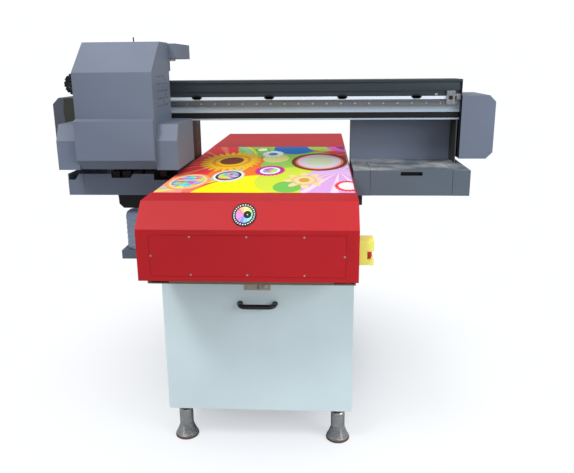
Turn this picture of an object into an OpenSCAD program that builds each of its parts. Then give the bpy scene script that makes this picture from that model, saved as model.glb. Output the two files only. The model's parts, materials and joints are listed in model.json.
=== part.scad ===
// Flatbed UV printer with a fixed vacuum table and a moving, lifting gantry.
// Origin: middle of the footprint, on the floor. +Y points to the back, +Z up.

/* [Base] */
// Width of the red base body
base_w = 700; // [580:10:900]
// Length of the base, front cover to rear cover
base_len = 2100; // [1950:10:2600]
// Height of the printing surface above the floor
bed_z = 1009; // [960:1:1180]
// Height of the red body, lower edge to printing surface
body_h = 243; // [225:1:300]
// Length of the vacuum table
bed_len = 1217; // [1100:1:1400]
// Distance from the front face to the vacuum table
bed_inset = 220; // [190:1:300]
// Depth of the chamfer on the front cover
chamfer_y = 84; // [40:1:120]
// Height of the chamfer on the front cover
chamfer_z = 74; // [40:1:100]
// Thickness of the cover sheets
sheet_t = 2; // [1.5:0.1:3]
// Gap between neighbouring covers
seam = 2; // [1:0.5:4]
// Thickness of the vacuum table
table_t = 23; // [18:1:30]
// Thickness of the board that lies on the table
media_t = 1; // [0.5:0.5:3]
// Height of the base frame's long tubes
tube_h = 84; // [70:1:100]
// Width of the base frame's long tubes
tube_w = 76; // [60:1:90]
// Height of the base frame's cross tubes
cross_h = 40; // [30:1:60]
// Wall of the frame tubes
tube_t = 4; // [3:0.5:6]

/* [Front panel] */
// Width of the removable front panel
panel_w = 616; // [400:2:620]
// Height of the removable front panel
panel_h = 134; // [100:1:150]
// Diameter of the panel screws' heads
screw_d = 8; // [5:0.5:12]
// Diameter of the colour wheel badge
badge_d = 78; // [40:1:90]

/* [Cabinet] */
// Depth of the cabinet, front to back
cabinet_len = 1550; // [1200:10:1800]
// Distance from the front face to the cabinet door
cabinet_inset = 275; // [150:5:350]
// Height of the cabinet's underside above the floor
cabinet_z = 148; // [130:1:180]
// Depth of the door's folded rim
door_t = 16; // [12:1:24]
// Thickness of the door sheet
door_sheet = 1.5; // [1:0.1:3]
// Diameter of the door's hinge pins
pin_d = 6; // [4:0.5:8]
// Running clearance of pins in their bores, on the radius
pin_fit = 0.05; // [0.02:0.01:0.1]
// Width of the door handle
handle_w = 146; // [100:2:200]
// Height of the door handle above the cabinet's underside
handle_up = 437; // [300:1:460]

/* [Feet] */
// Distance of the feet from the middle, sideways
foot_x = 300; // [220:1:300]
// Distance of the feet from the cabinet's ends
foot_inset = 60; // [60:1:200]
// Diameter of the bell foot
foot_d = 92; // [70:1:110]
// Diameter of the foot's sleeve
sleeve_d = 54; // [40:1:60]
// Diameter of the foot's threaded stem
stem_d = 24; // [16:1:30]

/* [Gantry] */
// Distance from the front face to the gantry's back wall, as parked
gantry_rest = 1016; // [950:1:1100]
// Width of each side box
box_w = 473; // [420:1:500]
// Depth of each side box
box_len = 327; // [300:1:360]
// Height of each side box
box_h = 105; // [90:1:130]
// Side clearance between base and gantry
side_gap = 10; // [8:1:20]
// Width of the lid in the right box
lid_w = 332; // [250:1:340]
// Depth of the lid in the right box
lid_len = 256; // [200:1:265]
// Height of the beam's underside above the printing surface
beam_up = 186; // [176:1:220]
// Height of the beam
beam_h = 150; // [140:1:170]
// Depth of the beam
beam_len = 131; // [120:1:140]
// Wall of the beam extrusion
beam_t = 6; // [4:0.5:8]
// Width of each end cover
end_w = 140; // [100:1:160]
// Height of each end cover
end_h = 265; // [220:1:280]
// Depth of each end cover
end_len = 300; // [250:1:330]
// Corner chamfer of the end covers
end_chamfer = 27; // [10:1:40]
// Width of each gantry leg
leg_w = 60; // [50:1:65]
// Depth of each gantry leg
leg_len = 125; // [100:1:140]
// Thickness of the leg's foot plate
foot_plate_t = 20; // [15:1:24]

/* [Drives] */
// Width of the guide rails
rail_w = 20; // [15:1:24]
// Height of the guide rails
rail_h = 17; // [14:1:20]
// Running clearance between rails and blocks
rail_fit = 0.3; // [0.2:0.1:0.6]
// Diameter of the table screw
y_screw_d = 20; // [16:1:22]
// Diameter of the lift screws
lift_screw_d = 14; // [12:1:16]
// Diameter of the belt pulleys
pulley_d = 32; // [26:1:36]
// Thickness of the belt
belt_t = 2; // [1.5:0.1:3]
// Width of the belt
belt_w = 13; // [9:1:13]
// Gap between belt and pulley
belt_gap = 0.3; // [0.2:0.1:0.6]
// Diameter of the pulley shafts
shaft_d = 8; // [6:1:10]

/* [Carriage] */
// Width of the carriage cover
cover_w = 307; // [280:1:370]
// Width of each lamp cover
lamp_w = 84; // [70:1:90]
// Distance from the gantry's back wall to the cover's lower front
cover_front = 511; // [480:1:540]
// Distance from the gantry's back wall to the cover's rear edge
cover_rear = 204; // [200:1:215]
// Height of the carriage cover
cover_h = 483; // [430:1:520]
// Gap between the carriage and the printing surface
head_gap = 26; // [20:1:40]
// Height of the lamp covers
lamp_h = 174; // [150:1:185]
// Diameter of the vent holes
vent_d = 8; // [5:0.5:10]

/* [Cable chain] */
// Width of the chain links
chain_w = 46; // [40:1:50]
// Height of the chain links
chain_h = 18; // [16:1:22]
// Outer diameter of the chain's loop
chain_loop_d = 100; // [90:1:104]
// Length of the chain's straight runs, as parked
chain_run = 450; // [440:1:460]

/* [Hidden] */
$fn = 48;

// Base
hw = base_w / 2;
front_y = -base_len / 2;
rear_y = base_len / 2;
body_z = bed_z - body_h;
bed_y0 = front_y + bed_inset;
bed_y1 = bed_y0 + bed_len;
table_top = bed_z - media_t;
table_z = table_top - table_t;
frame_z = body_z - cross_h;
tube_top = frame_z + tube_h;
tube_x1 = hw - 4;
tube_x0 = tube_x1 - tube_w;
chamfer_a = atan2(chamfer_z, chamfer_y);
panel_z = body_z + 17;
panel_gap = 1;
flange = 20;
cross_w = 60;
beam_bar_h = 25;
post_w = 40;
support_y = [bed_y0 + 5, (bed_y0 + bed_y1) / 2 - cross_w / 2, bed_y1 - cross_w - 5];

// Cabinet
cabinet_y = front_y + cabinet_inset;
cabinet_top = frame_z;
door_h = cabinet_top - cabinet_z - 2 * seam;
door_z = cabinet_z + seam;
hinge_y = cabinet_y + door_t / 2;
hinge_z = door_z + door_t / 2;
shell_y = cabinet_y + door_t + 4;
shell_end = cabinet_y + cabinet_len;
knuckle_d = pin_d + 4;
lock_z = door_z + door_h - 86;
lock_w = 96;
lock_h = 27;

// Feet
plate_t = 3;
plate_w = 110;
foot_y0 = cabinet_y + foot_inset;
foot_y1 = shell_end - foot_inset;
stem_top = cabinet_z + 45;

// Gantry
wall_y = front_y + gantry_rest;
wall_t = 3;
box_x = hw + side_gap;
box_end = box_x + box_w;
box_top = bed_z - 1;
box_z = box_top - box_h;
box_y = wall_y - box_len;
beam_z = bed_z + beam_up;
beam_top = beam_z + beam_h;
beam_y = wall_y - beam_len;
beam_end = box_end - 21;
groove_z = beam_z + 7;
groove_h = 25;
step_z = beam_z + 84;
step_len = 31;
hood_y = beam_y - 25;
hood_z = beam_z + 99;
hood_top = beam_z + 167.5;
end_x0 = beam_end + 3;
end_x1 = end_x0 + end_w;
left_end_w = end_w - 20;
end_z = bed_z + 23;
end_top = max(end_z + end_h, step_z + 2 + belt_w + 3);
end_y = wall_y - 166;
leg_x = box_x + 5;
leg_y = wall_y + 79;
leg_top = beam_top - 70;
rail_z = beam_z + 60;
x_rail_h = 20;
x_rail_y = beam_y - 15;
lift_y = wall_y + 39;
lift_x = leg_x + leg_w / 2;

// Y drive
block_w = 46;
block_h = 30;
block_len = 70;
y_rail_x = tube_x0 + tube_w / 2 + 8;
foot_plate_z = tube_top + 33;
foot_plate_y0 = wall_y + 24;
foot_plate_y1 = leg_y + leg_len;
screw_x = tube_x0 - 35;
post_x0 = screw_x - 110;
screw_z = foot_plate_z - 20;
travel_front = 400;
travel_rear = 700;
slot_y0 = foot_plate_y0 - travel_front - 15;
slot_y1 = foot_plate_y1 + travel_rear + 15;
slot_z = foot_plate_z - 8;
slot_h = foot_plate_t + 16;
screw_y0 = slot_y0 - 70;
screw_y1 = slot_y1 + 70;

// X drive
pulley_y = beam_y + 5;
belt_z = step_z + 2;
belt_r = pulley_d / 2 + belt_gap;
idler_x = beam_end - 42;
drive_x = -end_x0 - 55;

// Carriage, parked over the left box
cover_x1 = -hw - 58;
cover_x0 = cover_x1 - cover_w;
cover_y = wall_y - cover_front;
cover_end = wall_y - cover_rear;
cover_z = bed_z + head_gap;
cover_top = cover_z + cover_h;
top_pin_d = 5;
lamp_y = cover_y + 25;
lamp_end = cover_end + 26;
head_y = wall_y - 311;
head_len = 100;
head_w = 34;
head_pitch = 48;

// Cable chain
chain_y = wall_y + 24;
loop_r = chain_loop_d / 2;
loop_x = -end_x1 + loop_r + 2;
loop_z = end_top + loop_r + 1.5;
run_z = loop_z + loop_r - chain_h;
run_t = 2.4;
run_fit = 0.6;

// A block between two corners
module block(x0, x1, y0, y1, z0, z1) {
    translate([x0, y0, z0]) cube([x1 - x0, y1 - y0, z1 - z0]);
}

// A hollow tube between two corners, open along one axis ("x", "y" or "z")
module tube(x0, x1, y0, y1, z0, z1, along, t = tube_t) {
    kx = along == "x" ? -1 : t;
    ky = along == "y" ? -1 : t;
    kz = along == "z" ? -1 : t;
    difference() {
        block(x0, x1, y0, y1, z0, z1);
        block(x0 + kx, x1 - kx, y0 + ky, y1 - ky, z0 + kz, z1 - kz);
    }
}

// An outline in the YZ plane, drawn out along X
module yz_prism(x0, x1, outline) {
    translate([x0, 0, 0]) rotate([90, 0, 90]) linear_extrude(x1 - x0) polygon(outline);
}

// An outline in the XZ plane, drawn out along Y
module xz_prism(y0, y1, outline) {
    translate([0, y1, 0]) rotate([90, 0, 0]) linear_extrude(y1 - y0) polygon(outline);
}

module rod_x(x0, x1, y, z, d) {
    translate([x0, y, z]) rotate([0, 90, 0]) cylinder(h = x1 - x0, d = d);
}

module rod_y(x, y0, y1, z, d) {
    translate([x, y0, z]) rotate([-90, 0, 0]) cylinder(h = y1 - y0, d = d);
}

module rod_z(x, y, z0, z1, d) {
    translate([x, y, z0]) cylinder(h = z1 - z0, d = d);
}

module both_sides() {
    children();
    mirror([1, 0, 0]) children();
}

// Side outline of the front cover, drawn inwards by t
function front_outline(t) = [
    [front_y + t, body_z - (t > 0 ? 1 : 0)],
    [front_y + t, bed_z - chamfer_z - t * tan((90 - chamfer_a) / 2)],
    [front_y + chamfer_y + t * tan(chamfer_a / 2), bed_z - t],
    [bed_y0 - seam + (t > 0 ? 1 : 0), bed_z - t],
    [bed_y0 - seam + (t > 0 ? 1 : 0), body_z - (t > 0 ? 1 : 0)]];

panel_screw_places = [
    for (z = [panel_z + 5, panel_z + panel_h - 5]) for (i = [-1:1]) [i * panel_w * 0.292, z],
    for (s = [-1, 1]) [s * (panel_w / 2 - 3), panel_z + panel_h / 2]];

// ---- base ----

module cabinet_shell() color("lightsteelblue") {
    difference() {
        block(-hw, hw, shell_y, shell_end, cabinet_z, cabinet_top);
        block(-hw + sheet_t, hw - sheet_t, shell_y - 1, shell_end - sheet_t,
              cabinet_z + sheet_t, cabinet_top - sheet_t);
        both_sides() for (y = [foot_y0, foot_y1])
            rod_z(foot_x, y, cabinet_z - 1, cabinet_z + sheet_t + 1, stem_d + 2);
        block(-hw + 60, -hw + 120, shell_end - sheet_t - 1, shell_end + 1,
              cabinet_z + 60, cabinet_z + 100);
    }
    // foot sockets with their mounting plates
    both_sides() for (y = [foot_y0, foot_y1]) difference() {
        union() {
            block(foot_x - plate_w / 2, min(foot_x + plate_w / 2, hw),
                  max(y - plate_w / 2, shell_y + 2), y + plate_w / 2,
                  cabinet_z - plate_t, cabinet_z);
            rod_z(foot_x, y, cabinet_z + sheet_t, stem_top + 10, stem_d + 16);
        }
        rod_z(foot_x, y, cabinet_z - plate_t - 1, stem_top + 5, stem_d + 2 * rail_fit);
    }
    // hinge ears and pins for the door
    both_sides() {
        difference() {
            union() {
                rod_x(hw - 28, hw - 16, hinge_y, hinge_z, knuckle_d);
                block(hw - 28, hw - 16, hinge_y, shell_y, hinge_z - knuckle_d / 2,
                      hinge_z + knuckle_d / 2);
                block(hw - 28, hw - 16, shell_y, shell_y + 12, cabinet_z + sheet_t,
                      hinge_z + knuckle_d / 2);
            }
            rod_x(hw - 29, hw - 15, hinge_y, hinge_z, pin_d - 0.01);
        }
        rod_x(hw - 48, hw - 16, hinge_y, hinge_z, pin_d);
    }
}

module base_frame() color("tan") {
    both_sides()
        tube(tube_x0, tube_x1, front_y + 87, rear_y - 15, frame_z, tube_top, "y");
    for (y = concat([front_y + 87, screw_y0 - 20], support_y))
        tube(-tube_x0, tube_x0, y, y + cross_w, frame_z, body_z, "x");
    tube(-tube_x0, tube_x0, screw_y1 - 40, rear_y - 15, frame_z, body_z, "x");
    // supports under the vacuum table
    for (y = support_y) {
        both_sides() tube(post_x0, post_x0 + post_w, y + 10, y + 10 + post_w, body_z,
                          table_z - beam_bar_h, "z");
        tube(-tube_x0, tube_x0, y, y + cross_w, table_z - beam_bar_h, table_z, "x");
    }
    // bearing posts for the table screw
    for (y = [screw_y0, screw_y1 - 20]) difference() {
        block(screw_x - 20, screw_x + 20, y, y + 20, body_z, screw_z + 18);
        rod_y(screw_x, y - 1, y + 21, screw_z, y_screw_d + 2 * pin_fit);
    }
}

module front_cover() color("crimson") {
    difference() {
        yz_prism(-hw, hw, front_outline(0));
        yz_prism(-hw + sheet_t, hw - sheet_t, front_outline(sheet_t));
        block(-panel_w / 2 - panel_gap, panel_w / 2 + panel_gap, front_y - 1,
              front_y + sheet_t + 0.5, panel_z - panel_gap, panel_z + panel_h + panel_gap);
    }
    // flange behind the removable panel
    difference() {
        block(-hw + sheet_t, hw - sheet_t, front_y + sheet_t, front_y + 2 * sheet_t,
              body_z, panel_z + panel_h + 8);
        block(-panel_w / 2 + flange, panel_w / 2 - flange, front_y, front_y + 3 * sheet_t,
              panel_z + flange, panel_z + panel_h - flange);
        for (p = panel_screw_places)
            rod_y(p[0], front_y, front_y + 3 * sheet_t, p[1], 4.2);
    }
}

module access_panel() color("firebrick")
    difference() {
        block(-panel_w / 2, panel_w / 2, front_y, front_y + sheet_t, panel_z,
              panel_z + panel_h);
        for (p = panel_screw_places)
            rod_y(p[0], front_y - 1, front_y + sheet_t + 1, p[1], 4.2);
    }

module panel_screws() color("silver")
    for (p = panel_screw_places) {
        rod_y(p[0], front_y - 1.2, front_y, p[1], screw_d);
        rod_y(p[0], front_y, front_y + 2 * sheet_t + 4, p[1], 4);
    }

module badge() color("black")
    translate([-10, front_y + chamfer_y * 0.48, bed_z - chamfer_z * 0.52])
        rotate([chamfer_a, 0, 0]) cylinder(h = 1.6, d = badge_d, $fn = 96);

module slot_cut() {
    both_sides() block(hw - sheet_t - 1, hw + 1, slot_y0, slot_y1, slot_z, slot_z + slot_h);
}

module rear_cover() color("crimson")
    difference() {
        block(-hw, hw, bed_y1 + seam, rear_y, body_z, bed_z);
        block(-hw + sheet_t, hw - sheet_t, bed_y1 + seam - 1, rear_y - sheet_t,
              body_z - 1, bed_z - sheet_t);
        slot_cut();
    }

module side_panels() color("crimson")
    difference() {
        both_sides() block(hw - sheet_t, hw, bed_y0, bed_y1, body_z, table_top);
        slot_cut();
    }

module vacuum_table() color("silver")
    difference() {
        block(-hw + sheet_t + 1, hw - sheet_t - 1, bed_y0, bed_y1, table_z, table_top);
        for (i = [0:3]) for (s = [0, 1])
            translate([s * (hw - 6) - hw + 15, bed_y0 + 20 + i * (bed_len - 40) / 4, table_z - 1])
                cube([hw - 24, (bed_len - 40) / 4 - 12, table_t - 7]);
    }

module print_sheet() color("gold")
    block(-hw + 5.5, hw - 5.5, bed_y0, bed_y1, table_top, bed_z);

module y_rails() color("lightslategray") both_sides()
    block(y_rail_x - rail_w / 2, y_rail_x + rail_w / 2, slot_y0 - 40, slot_y1 + 40,
          tube_top, tube_top + rail_h);

module y_screw() color("silver")
    rod_y(screw_x, screw_y0 - 4, screw_y1 + 8, screw_z, y_screw_d);

module y_motor() color("dimgray") {
    block(screw_x - 30, screw_x + 30, screw_y1 + 9, rear_y - sheet_t - 6, screw_z - 30,
          screw_z + 30);
    block(screw_x - 34, screw_x + 34, screw_y1 + 9, screw_y1 + 15, body_z, screw_z + 36);
}

module power_supply() color("lightgray")
    translate([-hw + 90, cabinet_y + 260, cabinet_z + sheet_t]) {
        difference() {
            cube([220, 300, 120]);
            translate([3, 3, 3]) cube([214, 294, 114]);
            for (i = [0:9]) translate([20 + i * 19, -1, 30]) cube([8, 10, 60]);
        }
        translate([60, 60, 3]) cube([100, 180, 80]);
    }

module vacuum_pump() color("slategray")
    translate([130, cabinet_y + 420, cabinet_z + sheet_t]) {
        difference() {
            rod_y(0, 0, 120, 150, 280);
            rod_y(0, 3, 117, 150, 274);
            rod_y(0, -1, 5, 150, 90);
        }
        rod_y(0, 20, 220, 150, 130);
        translate([-90, 10, 0]) cube([180, 90, 12]);
        difference() {
            rod_z(-90, 60, 200, 420, 60);
            rod_z(-90, 60, 199, 421, 54);
            rod_y(0, 0, 120, 150, 281);
        }
    }

module mains_inlet() color("black")
    difference() {
        union() {
            block(-hw + 61, -hw + 119, shell_end - 30, shell_end, cabinet_z + 61,
                  cabinet_z + 99);
            block(-hw + 55, -hw + 125, shell_end, shell_end + 3, cabinet_z + 55,
                  cabinet_z + 105);
        }
        block(-hw + 73, -hw + 107, shell_end - 20, shell_end + 4, cabinet_z + 68,
              cabinet_z + 92);
    }

estop_y = front_y + 76;
estop_z = bed_z - 168;

module estop_box() color("yellow")
    difference() {
        union() {
            block(hw, hw + 22, estop_y - 34, estop_y + 34, bed_z - 198, bed_z - 118);
            block(hw + 22, hw + 48, estop_y - 34, estop_y + 34, bed_z - 148, bed_z - 118);
            difference() {
                block(hw + 22, hw + 48, estop_y - 34, estop_y + 34, bed_z - 198, bed_z - 148);
                rod_x(hw + 21, hw + 49, estop_y, estop_z, 46);
            }
        }
        rod_x(hw - 1, hw + 49, estop_y, estop_z, 36);
        block(hw + 27, hw + 49, estop_y - 35, estop_y + 35, estop_z - 13, estop_z + 15);
    }

module estop_button() color("red") {
    rod_x(hw + 4, hw + 27, estop_y, estop_z, 24);
    translate([hw + 27, estop_y, estop_z]) rotate([0, 90, 0]) rotate_extrude($fn = 64)
        polygon([[0, 0], [17, 0], [20, 3], [20, 10], [17, 14], [10, 16], [0, 16.5]]);
}

// Bell foot with its sleeve and stem, one closed turned outline
module levelling_foot(x, y) color("silver") translate([x, y, 0]) {
    rotate_extrude($fn = 64) polygon([[0, 0], [foot_d / 2 - 3, 0], [foot_d / 2, 3],
        [foot_d / 2, 10], [foot_d / 2 - 4, 13], [foot_d / 2 - 9, 24],
        [foot_d / 2 - 12, 38], [foot_d / 2 - 17, 50], [sleeve_d / 2, 56],
        [sleeve_d / 2, 118], [sleeve_d / 2 - 6, 122], [stem_d / 2, 122],
        [stem_d / 2, stem_top], [0, stem_top]]);
}
module levelling_foot_front_left() levelling_foot(-foot_x, foot_y0);
module levelling_foot_front_right() levelling_foot(foot_x, foot_y0);
module levelling_foot_rear_left() levelling_foot(-foot_x, foot_y1);
module levelling_foot_rear_right() levelling_foot(foot_x, foot_y1);

// ---- cabinet door ----

module cabinet_door() color("lightsteelblue") {
    difference() {
        block(-hw, hw, cabinet_y, cabinet_y + door_t, door_z, door_z + door_h);
        block(-hw + door_sheet, hw - door_sheet, cabinet_y + door_sheet,
              cabinet_y + door_t + 1, door_z + door_sheet, door_z + door_h - door_sheet);
        both_sides() block(hw - 30, hw - 14, cabinet_y + 3, cabinet_y + door_t + 1,
                           door_z - 1, door_z + 3);
        block(-lock_w / 2 + 4, lock_w / 2 - 4, cabinet_y - 1, cabinet_y + 3,
              lock_z + 4, lock_z + lock_h - 4);
    }
    // hinge knuckles on the door
    both_sides() difference() {
        union() {
            rod_x(hw - 44, hw - 32, hinge_y, hinge_z, knuckle_d);
            block(hw - 44, hw - 32, cabinet_y + door_sheet, hinge_y, hinge_z - knuckle_d / 2,
                  hinge_z + knuckle_d / 2);
        }
        rod_x(hw - 45, hw - 31, hinge_y, hinge_z, pin_d + 2 * pin_fit);
    }
}

module door_handle() color("black") {
    both_sides() rod_y(handle_w / 2 - 12, cabinet_y - 34, cabinet_y, cabinet_z + handle_up, 16);
    rod_x(-handle_w / 2 + 12, handle_w / 2 - 12, cabinet_y - 34, cabinet_z + handle_up, 18);
    both_sides() {
        translate([handle_w / 2 - 12, cabinet_y - 34, cabinet_z + handle_up]) sphere(d = 18);
        rod_y(handle_w / 2 - 12, cabinet_y - 5, cabinet_y, cabinet_z + handle_up, 22);
    }
}

module latch_plate() color("wheat") {
    // ears that hold the lever's pin
    for (z = [lock_z + 3, lock_z + lock_h - 7]) difference() {
        block(lever_x - 2.6, lever_x + 2.6, cabinet_y - 7, cabinet_y - 3, z, z + 4);
        rod_z(lever_x, cabinet_y - 5, z - 1, z + 5, lever_pin_d + 2 * pin_fit);
    }
    difference() {
        union() {
            block(-lock_w / 2, lock_w / 2, cabinet_y - 3, cabinet_y, lock_z, lock_z + lock_h);
            block(-lock_w / 2 + 5, lock_w / 2 - 5, cabinet_y, cabinet_y + 14, lock_z + 5,
                  lock_z + lock_h - 5);
        }
        block(-lock_w / 2 + 10, 20, cabinet_y - 4, cabinet_y + 6, lock_z + 7,
              lock_z + lock_h - 7);
        rod_y(33, cabinet_y - 4, cabinet_y + 9, lock_z + lock_h / 2, 16.4);
    }
}

lever_x = -lock_w / 2 + 13;
lever_pin_d = 3;

module latch_lever() color("wheat") {
    block(lever_x - 2, 19, cabinet_y - 7, cabinet_y - 3.2, lock_z + 7.5, lock_z + lock_h - 7.5);
    rod_z(lever_x, cabinet_y - 5, lock_z + 3.5, lock_z + lock_h - 3.5, lever_pin_d);
}

module latch_button() color("goldenrod")
    rod_y(33, cabinet_y - 6, cabinet_y + 5, lock_z + lock_h / 2, 15.6);

// ---- gantry that travels along the base ----

module gantry_legs() color("tan") both_sides() {
    tube(leg_x, leg_x + leg_w, leg_y, foot_plate_y1, foot_plate_z + foot_plate_t, leg_top, "z");
    difference() {
        block(screw_x - 20, leg_x + leg_w, foot_plate_y0, foot_plate_y1, foot_plate_z,
              foot_plate_z + foot_plate_t);
        rod_z(lift_x, lift_y, foot_plate_z - 1, foot_plate_z + foot_plate_t + 1,
              lift_screw_d + 2 * pin_fit);
    }
}

module y_bearings() color("slategray") {
    both_sides() for (y = [foot_plate_y0 + 5, foot_plate_y1 - block_len - 5]) difference() {
        block(y_rail_x - block_w / 2, y_rail_x + block_w / 2, y, y + block_len,
              foot_plate_z - block_h, foot_plate_z);
        block(y_rail_x - rail_w / 2 - rail_fit, y_rail_x + rail_w / 2 + rail_fit, y - 1,
              y + block_len + 1, foot_plate_z - block_h - 1, tube_top + rail_h + rail_fit);
    }
    difference() {
        block(screw_x - 20, screw_x + 20, foot_plate_y0 + 50, foot_plate_y0 + 130,
              screw_z - 20, foot_plate_z);
        rod_y(screw_x, foot_plate_y0 + 49, foot_plate_y0 + 131, screw_z,
              y_screw_d + 2 * pin_fit);
    }
}

module z_rails() color("lightslategray") both_sides()
    block(lift_x - rail_w / 2, lift_x + rail_w / 2, leg_y - 15, leg_y,
          foot_plate_z + foot_plate_t, leg_top);

module lift_motors() color("dimgray") both_sides() {
    block(lift_x - 25, lift_x + 25, lift_y - 25, lift_y + 25, foot_plate_z - 55,
          foot_plate_z);
}

module lift_screw(side) color("silver")
    rod_z(side * lift_x, lift_y, foot_plate_z + 0.5, leg_top - 4, lift_screw_d);
module lift_screw_left() lift_screw(-1);
module lift_screw_right() lift_screw(1);

// ---- beam assembly that lifts on the gantry ----

module x_beam() color("gainsboro")
    difference() {
        yz_prism(-beam_end, beam_end, [[beam_y, beam_z], [wall_y, beam_z], [wall_y, beam_top],
            [beam_y + step_len, beam_top], [beam_y + step_len, step_z], [beam_y, step_z]]);
        yz_prism(-beam_end - 1, beam_end + 1, [[beam_y + beam_t + 12, beam_z + beam_t],
            [wall_y - beam_t, beam_z + beam_t], [wall_y - beam_t, beam_top - beam_t],
            [beam_y + step_len + beam_t, beam_top - beam_t],
            [beam_y + step_len + beam_t, step_z - beam_t],
            [beam_y + beam_t + 12, step_z - beam_t]]);
        block(-beam_end - 1, beam_end + 1, beam_y - 1, beam_y + 12, groove_z,
              groove_z + groove_h);
    }

// Folded hood over the beam, with the chain's tray behind it
module beam_hood() color("darkslategray") {
    difference() {
        hood_sheet();
        block(idler_x - 19, beam_end + 1, hood_y, beam_y + step_len, hood_z - 1,
              belt_z + belt_w + 10);
    }
    both_sides() block(beam_end - 40, beam_end - 36, beam_y + step_len, wall_y, beam_top,
                       hood_top - sheet_t);
    block(-2, 2, beam_y + step_len, wall_y, beam_top, hood_top - sheet_t);
}

module hood_sheet()
    yz_prism(-beam_end, beam_end, [
        [hood_y + 14, hood_z], [hood_y + 14, hood_z + 22], [hood_y + 8, hood_z + 22],
        [hood_y + 8, hood_top - 10], [hood_y, hood_top - 10], [hood_y, hood_top],
        [wall_y + 6, hood_top], [wall_y + 6, loop_z - loop_r - 4],
        [wall_y + 90, loop_z - loop_r - 4], [wall_y + 90, loop_z - loop_r + 14],
        [wall_y + 92, loop_z - loop_r + 14], [wall_y + 92, loop_z - loop_r - 6],
        [wall_y + 4, loop_z - loop_r - 6], [wall_y + 4, hood_top - sheet_t],
        [hood_y + 12, hood_top - sheet_t], [hood_y + 12, hood_z + 24],
        [hood_y + 16, hood_z + 24], [hood_y + 16, hood_z]]);

module x_rail() color("gray")
    difference() {
        block(-beam_end + 12, beam_end - 12, x_rail_y, beam_y, rail_z, rail_z + x_rail_h);
        for (x = [-beam_end + 42:60:beam_end - 42])
            rod_y(x, x_rail_y - 1, x_rail_y + 6, rail_z + x_rail_h / 2, 10);
    }

// Outline of an end cover, x1 being its outer face, with two outer corners cut off
function end_outline(x1, t) = [[end_x0 - (t > 0 ? 1 : 0), end_z + t],
    [x1 - end_chamfer - t * 0.41, end_z + t], [x1 - t, end_z + end_chamfer + t * 0.41],
    [x1 - t, end_top - end_chamfer - t * 0.41],
    [x1 - end_chamfer - t * 0.41, end_top - t],
    [end_x0 - (t > 0 ? 1 : 0), end_top - t]];

module end_cover(w) difference() {
    xz_prism(end_y, end_y + end_len, end_outline(end_x0 + w, 0));
    xz_prism(end_y + sheet_t, end_y + end_len - sheet_t, end_outline(end_x0 + w, sheet_t));
}
module end_cover_right() color("lightslategray") end_cover(end_w);
module end_cover_left() color("lightslategray") mirror([1, 0, 0]) end_cover(left_end_w);

module end_plate() color("black") {
    difference() {
        block(beam_end, end_x0, hood_y, end_y + end_len, end_z + 10, hood_top);
        block(beam_end - 1, end_x0 + 1, wall_y + 10, end_y + end_len + 1, end_top,
              hood_top + 1);
    }
    mirror([1, 0, 0]) difference() {
        block(beam_end, end_x0, end_y + 3, end_y + end_len - 3, end_z + 3, end_top - 3);
        block(beam_end - 1, end_x0 + 1, pulley_y - 26, pulley_y + 26, belt_z - 4,
              belt_z + belt_w + 4);
    }
}

// Bracket that stands on the beam's step and holds the idler's shaft from above
module idler_bracket() color("silver") {
    difference() {
        block(idler_x - 18, beam_end, pulley_y - 22, beam_y + step_len, belt_z + belt_w + 1,
              belt_z + belt_w + 9);
        rod_z(idler_x, pulley_y, belt_z, belt_z + belt_w + 10, shaft_d + 2 * pin_fit);
    }
    block(idler_x + 24, beam_end, pulley_y - 22, beam_y + step_len, step_z,
          belt_z + belt_w + 1);
    block(idler_x - 18, idler_x + 18, pulley_y - 25, pulley_y - 22, belt_z - 23,
          belt_z + belt_w + 22);
}

module x_motor() color("dimgray") {
    difference() {
        block(drive_x - 30, drive_x + 30, pulley_y - 30, pulley_y + 30, belt_z - 95,
              belt_z - 15);
        rod_z(drive_x, pulley_y, belt_z - 60, belt_z - 14, shaft_d + 2 * pin_fit);
    }
    block(drive_x + 30, -end_x0, pulley_y - 30, pulley_y + 30, belt_z - 25, belt_z - 19);
}

// A closed belt loop round two pulleys
module belt_outline(r) {
    block(drive_x, idler_x, pulley_y - r, pulley_y + r, belt_z, belt_z + belt_w);
    rod_z(drive_x, pulley_y, belt_z, belt_z + belt_w, 2 * r);
    rod_z(idler_x, pulley_y, belt_z, belt_z + belt_w, 2 * r);
}
module x_belt() color("white")
    difference() {
        belt_outline(belt_r + belt_t);
        translate([0, 0, -1]) belt_outline(belt_r);
        translate([0, 0, 1]) belt_outline(belt_r);
    }

module pulley(x, shaft_z0, shaft_z1) {
    rod_z(x, pulley_y, belt_z, belt_z + belt_w, pulley_d);
    rod_z(x, pulley_y, shaft_z0, shaft_z1, shaft_d);
}
module idler_pulley() color("silver") pulley(idler_x, belt_z - 1, belt_z + belt_w + 8);
module drive_pulley() color("silver") pulley(drive_x, belt_z - 50, belt_z + belt_w + 0.4);

lid_x0 = box_x + 70;
lid_y1 = box_y + lid_len;
lid_gap = 1;

module right_box() color("slategray")
    difference() {
        block(box_x, box_end, box_y, wall_y, box_z, box_top);
        block(box_x + sheet_t, box_end - sheet_t, box_y + sheet_t, wall_y - sheet_t,
              box_z + sheet_t, box_top - sheet_t);
        block(lid_x0 - lid_gap, lid_x0 + lid_w + lid_gap, box_y - 1, lid_y1 + lid_gap,
              box_z + sheet_t, box_top + 1);
        block(lid_x0 - lid_gap, lid_x0 + lid_w + lid_gap, box_y - 1, box_y + sheet_t,
              box_z - 1, box_top + 1);
    }

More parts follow.
